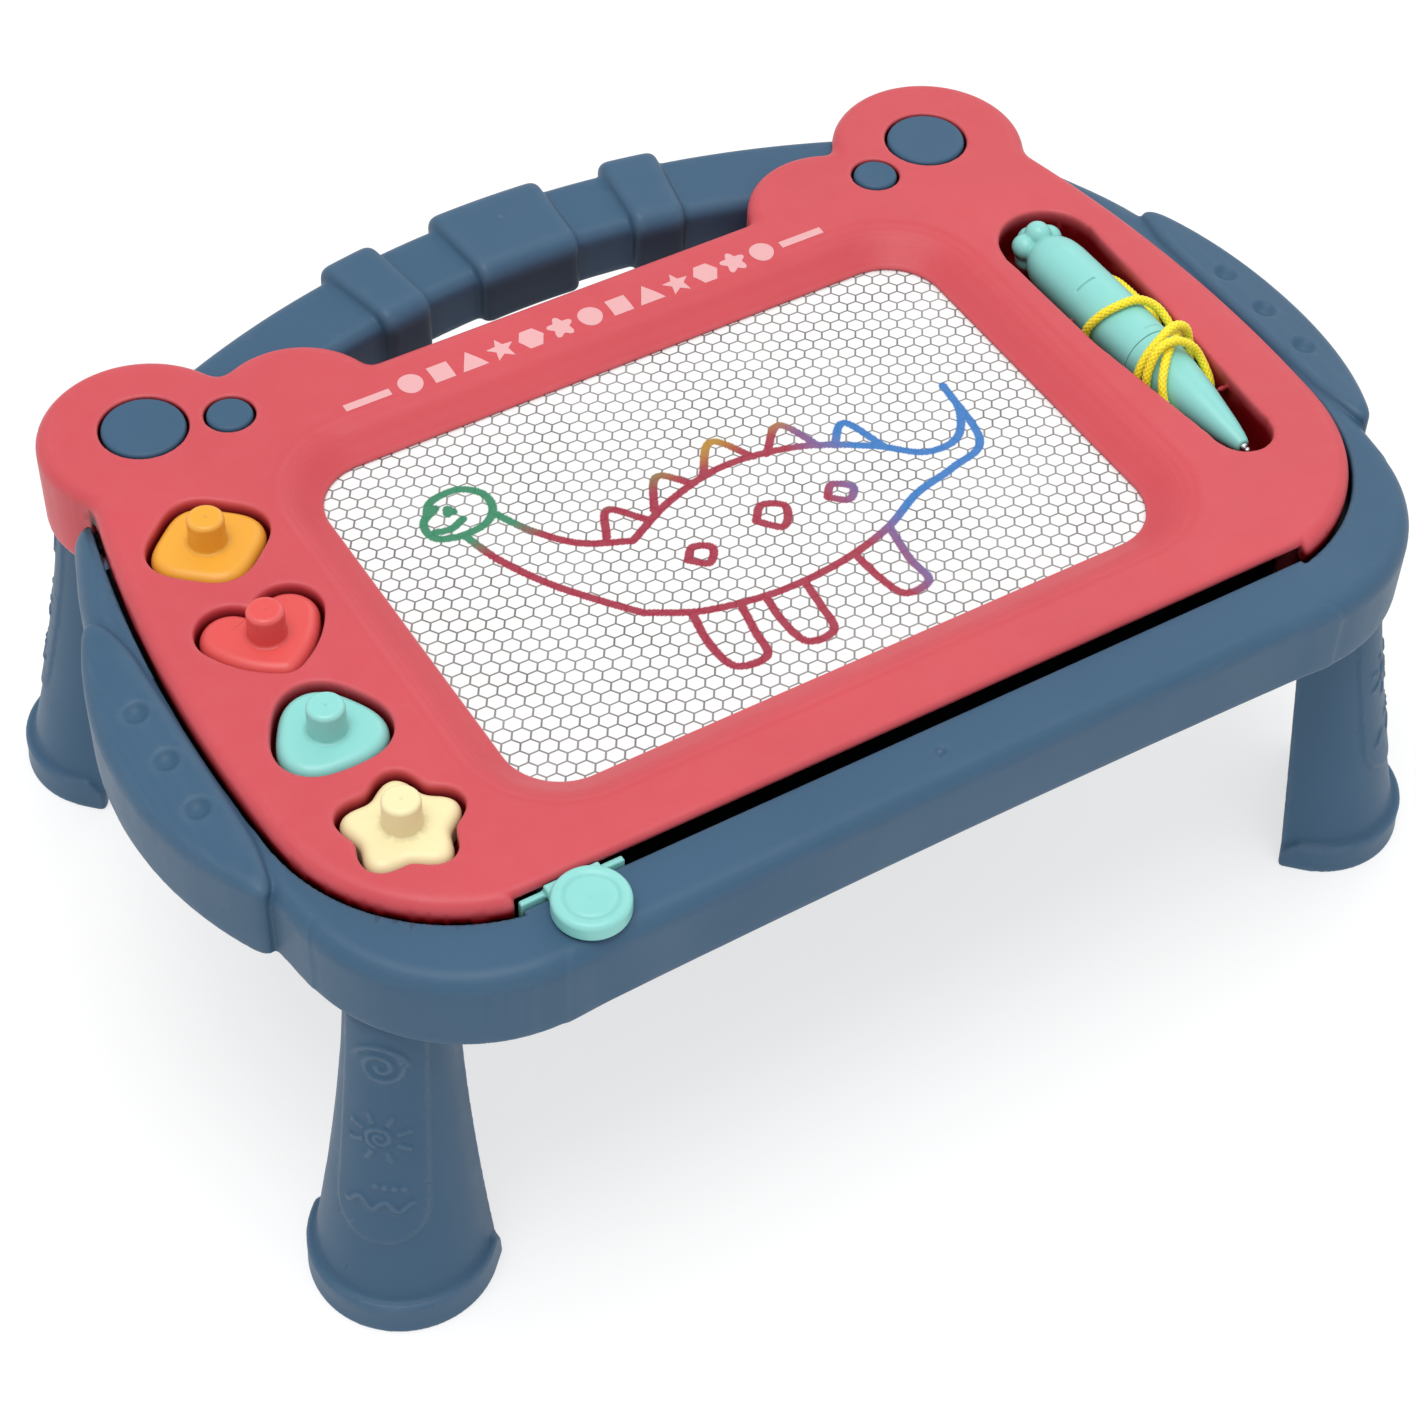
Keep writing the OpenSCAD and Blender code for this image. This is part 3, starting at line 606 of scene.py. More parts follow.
def make_deck():
    step = 0.8
    g = Grid((-181, -110, 116.4), (181, 145, 149.6), step)
    x, y, z = g.x, g.y, g.z
    plan = deck_plan(x, y)
    slot = np.maximum(np.abs(x) - SLOT_HALF, y + SLOT_Y)
    window = window_plan(x, y)
    top = deck_top(x, y)
    gx, gy = np.gradient(top[:, :, 0], step)
    lean = (1 / np.sqrt(1 + gx * gx + gy * gy)).astype(f4)[:, :, None]
    skin = rounded(plan, (z - top) * lean, DECK_EDGE)
    skin = meet(skin, -window, 0.6)
    skin = meet(skin, -slot, 2.4)
    hollow = np.full(np.broadcast(x, y).shape, 50.0, f4)
    for shape, (cx, cy) in WELLS.items():
        well = stamp_plan(shape, x - cx, y - cy) - STAMP_GAP
        hollow = np.minimum(hollow, well)
        skin = meet(skin, -meet(well, WELL_Z - z, 2.0), 1.3)
    tray = tray_plan(x, y)
    hollow = np.minimum(hollow, tray)
    skin = meet(skin, -meet(tray, TRAY_Z - z, 5.0), 1.3)
    ax = np.abs(x)
    holes = np.full(hollow.shape, 50.0, f4)
    for cx, cy, r in CAPS.values():
        hole = circle(ax, y, cx, cy, r + 0.6)
        holes = np.minimum(holes, hole)
        skin = meet(skin, -np.maximum(hole, 144 - z), 0.8)
    shell = np.maximum(skin, -(skin + DECK_SKIN))
    foot = np.where((plan > -4.5) & (y < EAR_Y) & (hollow > 2), 138.0, SKIRT_Z + 1)
    foot = np.where(window < 13, FILM_Z + 0.05, foot)
    foot = np.where((np.abs(x) < SLOT_HALF) & (y < -97), DECK_Z - SLOT_LIP, foot)
    shell = meet(shell, foot.astype(f4) - z, 0.6)
    for px, py in ((139, -92), (96, 101)):
        post = np.maximum(np.maximum(circle(ax, y, px, py, 4), 120.6 - z), z - 146.5)
        shell = np.minimum(shell, np.maximum(post, -np.maximum(circle(ax, y, px, py, 1.5), z - 131)))
    # The handle passes through the ears' walls
    reach = hyp(x, y - HANDLE_Y)
    passage = np.maximum(np.abs(reach - HANDLE_MID) - HANDLE_HALF - 0.5, z - 143.3)
    passage = np.maximum(np.maximum(passage, HANDLE_LOW - 0.5 - z), ax - 136)
    shell = meet(shell, -passage, 0.8)
    # Small nubs that hold the pen's cord in the tray
    for cx, cy, out in ((131.6, 15, 1), (155.6, -34, -1)):
        nub = hyp((x - cx - out * 0.6) / 2.2, y - cy, z - 143.5) - 1.0
        shell = join(shell, nub, 0.8)
    # Painted shade: the hollows under the deck's top, its edge down inside the frame, and rings round the
    # cap holes are marked to be painted dark
    hollow_shade = 0.8 * np.clip((top - 1.5 - z) / 3.5, 0, 1) * np.clip(2.5 - hollow, 0, 1)
    edge = np.clip((DECK_Z - 3.4 - z) / 2.4, 0, 1) * np.clip(plan + 3.5, 0, 1) * np.clip(EAR_Y + 1 - y, 0, 1)
    rings = np.clip((DECK_Z - 0.6 - z) / 1.2, 0, 1) * np.clip(2.4 - holes, 0, 1)
    return field_mesh("deck", shell, g, coral, 0.03, painted_shade=np.maximum(np.maximum(hollow_shade, edge), rings))


deck = make_deck()
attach(deck, "board")
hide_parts("deck_bezel")

# ---- The blue frame ----

RIM_CORNER, RIM_SIDE = (129.5, -72.0, 54.0), (-249.7, 0.0, 440.0)
RIM_HALF, RIM_FRONT, RIM_EDGE = 129.5, -126.0, 6.0
GRIP, GRIP_Z, GRIP_EDGE = (84.5, -8.8, 119.0), 144.9, 3.2
DIMPLE_X, DIMPLE_YS, DIMPLE_R = 190.3, (9, -11, -31), 5.2
GATE_X, GATE_Y = -3.8, -113.4
# How far forward the rim reaches the slot, close to the eraser's riser
RIM_AT_SLOT = 104.7


def rim_plan(ax, y):
    """Distance to the frame's outline without its grips; the front edge is a little hollow."""
    front = rect(ax, y, -10, RIM_HALF, RIM_FRONT, -40) + 1.6 * np.maximum(1 - (ax / RIM_HALF) ** 2, 0)
    side = np.maximum(np.maximum(circle(ax, y, *RIM_SIDE), -82 - y), y - EAR_Y - 6)
    side = meet(side, 0.939 * (ax - 187.7) + 0.345 * (y - 54.2), 3.0)
    return join(join(circle(ax, y, *RIM_CORNER), front, 1.5), side, 1.2)


def grip_plan(ax, y):
    """A leaf with round tips: an arc outside, and nearly straight beside the deck."""
    inner = meet(180.6 - ax, 0.88 * (187 - ax) + 0.475 * (np.abs(y - GRIP[1]) - 61.8), 7.0)
    return meet(circle(ax, y, *GRIP), inner, 7.0)


def handle_field(x, y, z):
    """Distance to the arched handle, with its three bands."""
    reach = hyp(x, y - HANDLE_Y)
    turn = np.degrees(np.abs(np.arctan2(x, y - HANDLE_Y)))
    bar = rounded(np.abs(reach - HANDLE_MID) - HANDLE_HALF, z - 142.8, 5.0)
    bar = np.maximum(bar, (turn - 26.8) * 4.9)
    bands = None
    # The middle band, and one at each side of it: the middle and half width of each, in degrees
    for middle, half in ((0.0, 3.9), (10.05, 1.95)):
        ends = (np.abs(turn - middle) - half) * math.pi / 180 * HANDLE_MID
        shape = meet(rounded(np.abs(reach - HANDLE_MID) - HANDLE_HALF - 3.5, z - 146.0, 6.0), ends, 3.6)
        bands = shape if bands is None else np.minimum(bands, shape)
    handle = join(bar, bands, 1.4)
    # The mark where the mould was filled
    return join(handle, hyp(x, y - 146.0, (z - 146.0) * 1.8) - 0.9, 0.5)


def make_frame():
    g = Grid((-205, -128, 115.4), (205, 163.5, 148.5), 0.85)
    x, y, z = g.x, g.y, g.z
    ax = np.abs(x)
    plan = rim_plan(ax, y)
    deck = deck_plan(x, y)
    grip = grip_plan(ax, y)
    # The strips beside the ears are rounder and a little lower
    back = np.clip((y - 30) / 55, 0, 1)
    solid = rounded(plan, z - RIM_Z + 1.2 * back, RIM_EDGE + 3.0 * back)
    fall = np.maximum(ax - 181, 0)
    # The grips' tops fall outwards in a shallow curve
    over = (z - GRIP_Z + 0.0088 * fall * fall) / np.sqrt(1 + (0.0176 * fall) ** 2)
    solid = join(solid, rounded(grip, over, GRIP_EDGE), 0.9)
    gap = np.minimum(DECK_GAP - deck, np.maximum(y + RIM_AT_SLOT, ax - SLOT_HALF + 1.5))
    solid = meet(solid, gap, 1.0)
    solid = meet(solid, y - EAR_Y, 5.0)
    for dimple_y in DIMPLE_YS:
        dimple = hyp(ax - DIMPLE_X, y - dimple_y, z - GRIP_Z - 2.6) - DIMPLE_R
        solid = meet(solid, -dimple, 0.8)
    # The mark where the mould was filled: a dish with a nub in it
    mark = hyp(x - GATE_X, y - GATE_Y)
    solid = meet(solid, -(hyp(mark, z - RIM_Z - 1.6) - 2.5), 0.3)
    solid = join(solid, hyp(mark, z - RIM_Z + 0.6) - 0.85, 0.2)
    shell = np.maximum(solid, -(solid + FRAME_SKIN))
    foot = np.where(DECK_GAP - deck > -4.7, 133.6, SKIRT_Z).astype(f4)
    shell = meet(shell, foot - z, 0.9)
    handle = handle_field(x, y, z)
    shell_handle = np.maximum(handle, -(handle + FRAME_SKIN))
    shell_handle = meet(shell_handle, HANDLE_LOW - z, 2.0)
    shell = np.minimum(shell, shell_handle)
    # The web that the screws hold, under the deck
    level = np.abs(z - 134.8) - 1.2
    inside = np.maximum(deck + 2.7, 85.5 - y)
    across = np.maximum(np.maximum(deck - 2.5, 80.5 - y), y - 88.0)
    reach = np.minimum(np.maximum(104 - ax, 94 - y), np.maximum(122.5 - ax, 60 - y))
    web = np.maximum(np.maximum(level, reach), np.minimum(inside, across))
    shell = np.minimum(shell, web)
    # Painted shade on the wall that faces the deck, down in the gap
    painted_shade = np.clip(4.0 - deck, 0, 1) * np.clip((RIM_Z - 1.0 - z) / 2.0, 0, 1) * np.clip(EAR_Y + 3 - y, 0, 1)
    # The handle's side that faces the deck is in its shade
    reach = hyp(x, y - HANDLE_Y)
    shade_in = np.clip((HANDLE_MID - HANDLE_HALF + 1.0 - reach) / 2, 0, 1) * np.clip((142 - z) / 4, 0, 1)
    shade_in = shade_in * np.clip(reach - HANDLE_MID + HANDLE_HALF + 6, 0, 1) * np.clip(136 - ax, 0, 1)
    return field_mesh("frame", shell, g, blue, 0.02, painted_shade=np.maximum(painted_shade, 0.5 * shade_in))


frame_piece = make_frame()
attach(frame_piece, "board")
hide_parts("frame_shell")

# ---- Ear caps ----


def revolve(name, profile, centre, material, sides=96):
    """A closed turned piece about a standing axis, from (radius, height) pairs that start and end on it."""
    ring = [p for p in profile if p[0] > 1e-6]
    cx, cy = centre
    turns = [2 * math.pi * i / sides for i in range(sides)]
    points = [(cx, cy, profile[0][1])]
    for r, h in ring:
        points += [(cx + r * math.cos(a), cy + r * math.sin(a), h) for a in turns]
    points.append((cx, cy, profile[-1][1]))
    faces = [(0, 1 + (i + 1) % sides, 1 + i) for i in range(sides)]
    for k in range(len(ring) - 1):
        a = 1 + k * sides
        faces += [(a + i, a + (i + 1) % sides, a + sides + (i + 1) % sides, a + sides + i)
                  for i in range(sides)]
    last, a = len(points) - 1, 1 + (len(ring) - 1) * sides
    faces += [(last, a + i, a + (i + 1) % sides) for i in range(sides)]
    obj = mesh_object(name, to_row(points), faces, material)
    store(obj, "curve", np.zeros(len(points)))
    return obj


def cap_profile(r, foot):
    """A disc with a rounded edge and a slightly hollow top, on a short post."""
    top = DECK_Z + 0.2
    r = r - 0.2
    bend = 1.3
    edge = [(r - bend + bend * math.sin(math.radians(a)), top - bend + bend * math.cos(math.radians(a)))
            for a in range(90, -1, -15)]
    return ([(0, foot), (3.5, foot), (3.5, RIM_Z), (r, RIM_Z)] + edge
            + [(r * 0.75, top - 0.12), (r * 0.5, top - 0.25), (r * 0.25, top - 0.32), (0, top - 0.35)])


CAP_FOOT = {"large": 136.05, "small": 142.85}
for size, (cx, cy, r) in CAPS.items():
    for side, sign in (("left", -1), ("right", 1)):
        profile = cap_profile(r, CAP_FOOT[size])
        piece = revolve(f"cap_{size}_{side}", profile, (sign * cx, cy), blue)
        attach(piece, "board")
        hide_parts(f"ear_cap_{size}_{side}")

# ---- Stamps ----

STAMP_LOW, STAMP_TOP = 137.8, 147.7
PEG_R, PEG_TOP = 5.5, 157.4


def make_stamp(shape, material):
    cx, cy = WELLS[shape]
    g = Grid((cx - 21, cy - 21, STAMP_LOW - 1.5), (cx + 21, cy + 21, PEG_TOP + 1.5), 0.42)
    plan = stamp_plan(shape, g.x - cx, g.y - cy)
    dome = STAMP_TOP - 0.9 + 0.9 * np.clip(-plan / 12, 0, 1)
    body = rounded(plan, g.z - dome, 3.4)
    body = meet(body, STAMP_LOW - g.z, 0.8)
    axis = hyp(g.x - cx, g.y - cy)
    peg = rounded(axis - (PEG_R + 0.012 * (PEG_TOP - g.z)), g.z - PEG_TOP, 1.5)
    peg = np.maximum(peg, STAMP_TOP - 4 - g.z)
    body = join(body, peg, 1.1)
    body = meet(body, -(hyp(axis, (g.z - PEG_TOP) * 1.6) - 0.5), 0.3)
    piece = field_mesh(f"{shape}_stamp", body, g, material)
    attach(piece, shape)
    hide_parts(f"stamp_{shape}")


make_stamp("diamond", orange)
make_stamp("heart", heart_red)
make_stamp("triangle", teal)
make_stamp("star", cream)

# ---- Eraser ----

KNOB_X, KNOB_Y, KNOB_Z, KNOB_R = -115.0, -113.9, 143.6, 11.0
ARM_TOP, ARM_T = 133.1, 2.5
RISER_FRONT, RISER_BACK = -104.35, -102.35


def make_eraser():
    g = Grid((-133, -128, 129.6), (-97, 93, 151), 0.45)
    x, y, z = g.x - KNOB_X, g.y, g.z
    arm = np.maximum(rect(x, y, -6, 6, RISER_FRONT, 91.2), np.maximum(ARM_TOP - ARM_T - z, z - ARM_TOP))
    lip = np.maximum(rect(x, y, -5.9, 5.9, -72, 72), np.maximum(ARM_TOP - 1 - z, z - ARM_TOP - 0.6))
    riser = rounded(rect(x, y, -15.8, 15.8, RISER_FRONT, RISER_BACK), z - 144.5, 0.7)
    riser = np.maximum(riser, ARM_TOP - ARM_T - z)
    neck = meet(rounded(rect(x, y, -8.5, 8.5, -117, -102.6), z - 147.0, 1.0), KNOB_Z - z, 0.4)
    axis = hyp(x, y - KNOB_Y)
    # The knob's top: a broad rim, a shallow groove and a dished middle
    top = 149.4 - 0.55 * np.exp(-((axis - 7.3) / 0.9) ** 2) - 0.9 * np.clip((7.0 - axis) / 7.0, 0, 1) ** 0.8
    knob = meet(rounded(axis - KNOB_R, z - top, 1.6), KNOB_Z - z, 0.8)
    shape = np.minimum(np.minimum(arm, lip), join(riser, join(neck, knob, 1.0), 0.8))
    return field_mesh("eraser_knob", shape, g, teal)


eraser = make_eraser()
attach(eraser, "eraser")
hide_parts("eraser_slider")

# ---- Pen ----

# Distance along the pen and radius
PEN_PROFILE = [
    (-57, 2.1), (-55, 3.0), (-49, 4.4), (-36, 6.7), (-20, 8.75), (-9, 9.35), (8, 9.95), (24, 10.0),
    (38, 9.9), (42, 9.5), (45, 8.6), (47, 7.4), (49, 5.4), (50, 3.8),
]
PEN_BORE, BORE_LOW, BORE_HIGH = 4.05, -22.0, 18.0


def pen_field(g):
    """Distance to the pen's smoothed outline, and distance from its axis."""
    ys = [p[0] for p in PEN_PROFILE]
    rs = [p[1] for p in PEN_PROFILE]
    fine = np.linspace(-57, 50, 428)
    r = np.interp(fine, ys, rs)
    kernel = np.hanning(21)
    padded = np.pad(r, 10, mode="edge")
    r = np.convolve(padded, kernel / kernel.sum(), "valid")
    radius = np.interp(g.y.reshape(-1), fine, r).astype(f4)[None, :, None]
    lean = np.gradient(radius.reshape(-1), g.step)
    lean = (1 / np.sqrt(1 + lean * lean)).astype(f4)[None, :, None]
    axis = hyp(g.x - PEN_X, g.z - PEN_Z)
    return np.maximum((axis - radius) * lean, g.y - 50), axis


def make_pen():
    g = Grid((134.5, -10, PEN_Z - 11.5), (157.5, 60.8, PEN_Z + 11.5), 0.38)
    shape, axis = pen_field(g)
    lobes = None
    for i in range(5):
        a = math.radians(90 + 72 * i)
        across, up = g.x - PEN_X - 5.0 * math.cos(a), g.z - PEN_Z - 5.0 * math.sin(a)
        ball = hyp(across, (g.y - 52.0) * 0.92, up) - 4.1
        lobes = ball if lobes is None else join(lobes, ball, 0.9)
    lobes = join(lobes, hyp(g.x - PEN_X, g.y - 55.6, g.z - PEN_Z) - 4.3, 0.9)
    shape = join(shape, lobes, 0.9)
    # Short mould marks on the barrel's top
    for mark, centre_turn in ((21.0, 115.0), (-6.0, 75.0)):
        turn = np.degrees(np.arctan2(g.z - PEN_Z, g.x - PEN_X))
        groove = np.maximum(np.maximum(np.abs(g.y - mark) - 0.35, np.abs(axis - 9.8) - 0.55),
                            (np.abs(turn - centre_turn) - 22) * 0.17)
        shape = meet(shape, -groove, 0.35)
    shape = np.maximum(shape, -8.92 - g.y)
    shape = np.maximum(shape, -np.maximum(axis - PEN_BORE, g.y - BORE_HIGH))
    barrel = field_mesh("pen_body", shape, g, teal)
    g = Grid((135.5, -58.4, PEN_Z - 10.5), (156.5, -7.6, PEN_Z + 10.5), 0.38)
    shape, axis = pen_field(g)
    shape = meet(meet(shape, -57 - g.y, 0.8), g.y + 9.08, 0.5)
    shape = np.maximum(shape, -np.maximum(axis - PEN_BORE, BORE_LOW - g.y))
    cone = field_mesh("pen_nose", shape, g, teal)
    g = Grid((143.4, -61.4, PEN_Z - 2.6), (148.6, -55.4, PEN_Z + 2.6), 0.12)
    axis = hyp(g.x - PEN_X, g.z - PEN_Z)
    ferrule = np.maximum(axis - (1.45 + (g.y + 57) * 0.12), np.maximum(-58.0 - g.y, g.y + 56.9))
    shape = join(ferrule, hyp(axis, g.y + 58.9) - 1.1, 0.2)
    tip = field_mesh("pen_point", shape, g, steel)
    pieces = ((barrel, "pen_barrel", "teal"), (cone, "pen_cone", "teal"), (tip, "pen_tip", "steel"))
    for piece, node, slot in pieces:
        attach(piece, "pen")
        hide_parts(node)


make_pen()

# ---- Legs ----

LEG_H = 116.5
LEG_LEAN = math.radians(6)
LEG_SIDE, LEG_WALL = 7.0, 2.6
FOOT_R, FOOT_H = 28.5, 12.0
PLUG_R, PLUG_IN, PLUG_TOP = 13.5, 12.0, 131.3
SWIRL_Z, SUN_Z, DOTS_Z, WAVE_Z = 98.0, 71.0, 52.5, 45.5
FEET = {"front": (169.5, -97.5), "back": (162.0, 126.0)}


def spiral(turns, r0, r1, start, steps=40):
    """Points of a flat spiral from radius r0 to r1, from a start angle in degrees."""
    out = []
    for i in range(steps + 1):
        t = i / steps
        a = math.radians(start) + 2 * math.pi * turns * t
        r = r0 + (r1 - r0) * t
        out.append((r * math.cos(a), r * math.sin(a)))
    return out


def leg_marks(u, z):
    """Distance to the leg's raised lines, over arc length u and height z.

    They are a swirl, a sun with a spiral, and dots over a wave.
    """
    line = polyline(u, z - SWIRL_Z, spiral(1.9, 1.2, 7.6, 200))
    hook = [(7.2 * math.cos(a), 7.2 * math.sin(a)) for a in np.linspace(0.2, 2.4, 10)]
    line = np.minimum(line, polyline(u, z - SWIRL_Z, hook))
    line = np.minimum(line, polyline(u, z - SUN_Z, spiral(1.6, 0.6, 4.0, 30)))
    for i in range(8):
        a = math.radians(22.5 + 45 * i)
        ray = [(r * math.cos(a), r * math.sin(a)) for r in (5.8, 8.6)]
        line = np.minimum(line, polyline(u, z - SUN_Z, ray))
    wave = [(t, WAVE_Z + 1.6 * math.sin(t * 0.85)) for t in np.linspace(-9.5, 9.5, 30)]
    line = np.minimum(line, polyline(u, z, wave))
    for i in range(4):
        line = np.minimum(line, hyp(u - (2.6 * i - 1.0), z - DOTS_Z) - 0.3)
    return line


def make_leg_mesh():
    g = Grid((-17, -30.5, -1.2), (31.5, 30.5, 132.5), 0.68)
    c, s = math.cos(LEG_LEAN), math.sin(LEG_LEAN)
    # Coordinates along the leaning shell
    lx = g.x * c + g.z * s
    lz = -g.x * s + g.z * c
    ly = g.y
    t = np.clip(1 - (lz - FOOT_H) / (LEG_H - FOOT_H), 0, 1.25)
    radius = 15.0 + 10.5 * t ** 1.6
    away = np.where(lx > 0, hyp(lx, ly), np.abs(ly))
    angle = np.arctan2(ly, np.maximum(lx, 0.001))
    arc = np.where(lx > 0, angle * radius, np.sign(ly) * (radius * math.pi / 2 - lx))
    # A raised panel with a rounded foot, and lines on it
    half = 12.5 + 3.0 * t
    panel = np.where(lz < 30 + half, hyp(arc, lz - 30 - half) - half, np.abs(arc) - half)
    panel_rise = 0.75 * np.clip(0.5 - panel / 1.6, 0, 1) * np.clip((LEG_H - 3 - lz) / 3, 0, 1)
    marks = leg_marks(arc, lz)
    mark_rise = 0.65 * np.clip(1.45 - marks / 0.75, 0, 1)
    outside = (away - radius - panel_rise - mark_rise) * 0.96
    shell = np.maximum(outside, -(away - radius + LEG_WALL))
    shell = meet(shell, g.z - LEG_H, 0.6)
    shell = meet(shell, -LEG_SIDE - lx, 1.2)
    foot_away = np.where(g.x > 0, hyp(g.x, ly), np.abs(ly))
    foot_d = foot_away - FOOT_R + 0.5
    foot_top = FOOT_H - 0.4
    rim = rounded(foot_d, g.z - foot_top, 1.6)
    inner = foot_away - (FOOT_R - LEG_WALL - 3.4)
    rim = np.maximum(rim, -inner)
    rim = meet(rim, -LEG_SIDE - g.x, 1.5)
    chamfer = (-(g.x + LEG_SIDE - 1.0) + (g.z - FOOT_H + 3.5)) * 0.7071
    rim = meet(rim, chamfer, 1.5)
    shell = join(shell, rim, 1.6)
    shell = meet(shell, -g.z, 0.7)
    # The plug at the top, which stands upright
    plug_x = g.x + PLUG_IN
    plug = np.where(plug_x > 0, hyp(plug_x, ly), np.abs(ly)) - PLUG_R
    plug = np.maximum(rounded(plug, g.z - PLUG_TOP, 0.8), -(plug + LEG_WALL))
    plug = np.maximum(np.maximum(plug, -LEG_SIDE - plug_x), LEG_H - 6 - g.z)
    return g, np.minimum(shell, plug)


def turned_to(foot, side_x):
    """Puts a leg at its foot's place, facing outwards."""
    a = math.atan2(math.copysign(1, foot[1]), side_x)
    c, s = math.cos(a), math.sin(a)
    at = np.array([side_x * foot[0], foot[1], 0.0])

    def place(points):
        x, y, z = points.T
        return np.stack([c * x - s * y, s * x + c * y, z], axis=1) + at
    return place


leg_grid, leg_field = make_leg_mesh()
for name, foot in FEET.items():
    for side, sign in (("left", -1), ("right", 1)):
        leg = field_mesh(f"{name}_{side}_leg_shell", leg_field, leg_grid, blue, 0.05, turned_to(foot, sign))
        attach(leg, f"{name}_{side}_leg")
        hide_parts(f"leg_{name}_{side}")

# ---- Drawing screen ----

SHEET_HALF, SHEET_T, SHEET_STEP = (114.6, 78.5), 0.6, 0.6
CELL_PITCH, CELL_SQUEEZE = 5.47, 1.133


def bezier(points, steps=14):
    """A smooth line through a stroke's points."""
    return [tuple(p) for p in smooth_route([(x, y, 0) for x, y in points], steps)[:, :2]]


# The strokes of a child's drawing of a long-necked creature
DOODLE = [
    [(-78, 44), (-84, 40), (-84, 33), (-77, 30), (-68, 31), (-63, 36), (-63, 43), (-69, 48), (-78, 47),
     (-82, 42)],
    [(-64, 34), (-58, 22), (-48, 10), (-34, 3)],
    [(-76, 30), (-72, 16), (-64, 0), (-54, -14), (-46, -24)],
    [(-34, 3), (-16, 12), (6, 17), (30, 13), (50, 2), (62, -8), (74, -8), (82, 2), (84, 14)],
    [(-46, -24), (-30, -32), (-8, -36), (14, -35), (34, -30), (50, -22), (66, -18), (80, -12), (84, 14)],
    [(-34, -31), (-36, -44), (-34, -55), (-24, -56), (-22, -46), (-20, -35)],
    [(-12, -36), (-13, -47), (-11, -57), (-2, -57), (0, -47), (1, -36)],
    [(20, -34), (21, -46), (24, -55), (33, -54), (33, -44), (35, -30)],
    [(-76, 40), (-75, 42), (-74, 40)],
    [(-83, 35), (-78, 34), (-73, 36)],
    [(-40, 8), (-34, 18), (-26, 9)], [(-22, 11), (-14, 23), (-6, 15)], [(-2, 16), (8, 28), (16, 16)],
    [(20, 15), (30, 24), (36, 10)], [(40, 8), (48, 15), (53, 0)],
    [(-24, -12), (-20, -8), (-15, -11), (-19, -16), (-24, -12)],
    [(2, -8), (7, -3), (13, -7), (8, -14), (2, -8)],
    [(26, -10), (30, -6), (35, -10), (31, -14), (26, -10)],
]


def make_screen():
    """The front sheet: a fine grid on top, which stores where it is drawn on, and a plain back."""
    half_x, half_y = SHEET_HALF
    nx, ny = int(2 * half_x / SHEET_STEP) + 1, int(2 * half_y / SHEET_STEP) + 1
    xs = np.linspace(-half_x, half_x, nx)
    ys = np.linspace(-half_y, half_y, ny)
    px, py = np.meshgrid(xs, ys, indexing="ij")
    stroke = np.full(px.shape, 1e3)
    for line in DOODLE:
        stroke = np.minimum(stroke, polyline(px, py, bezier(line)))
    ink_amount = np.clip((1.5 - stroke) / 0.6, 0, 1)
    top = np.stack([px.ravel(), py.ravel(), np.full(px.size, FILM_Z)], axis=1)
    edge = ([(i, 0) for i in range(nx)] + [(nx - 1, j) for j in range(1, ny)]
            + [(i, ny - 1) for i in range(nx - 2, -1, -1)] + [(0, j) for j in range(ny - 2, 0, -1)])
    rim = [i * ny + j for i, j in edge]
    rim_points = top[rim] - [0, 0, SHEET_T]
    base = len(top)
    i, j = np.meshgrid(np.arange(nx - 1), np.arange(ny - 1), indexing="ij")
    a = (i * ny + j).ravel()
    faces = np.stack([a, a + ny, a + ny + 1, a + 1], axis=1).tolist()
    n = len(rim)
    faces += [(rim[k], base + k, base + (k + 1) % n, rim[(k + 1) % n]) for k in range(n)]
    faces.append(tuple(base + k for k in range(n))[::-1])
    points = np.vstack([top, rim_points])
    obj = mesh_object("screen_sheet", to_row(points), faces, screen_material(), smooth=False)
    store(obj, "ink", np.concatenate([ink_amount.ravel(), np.zeros(n)]))
    return obj


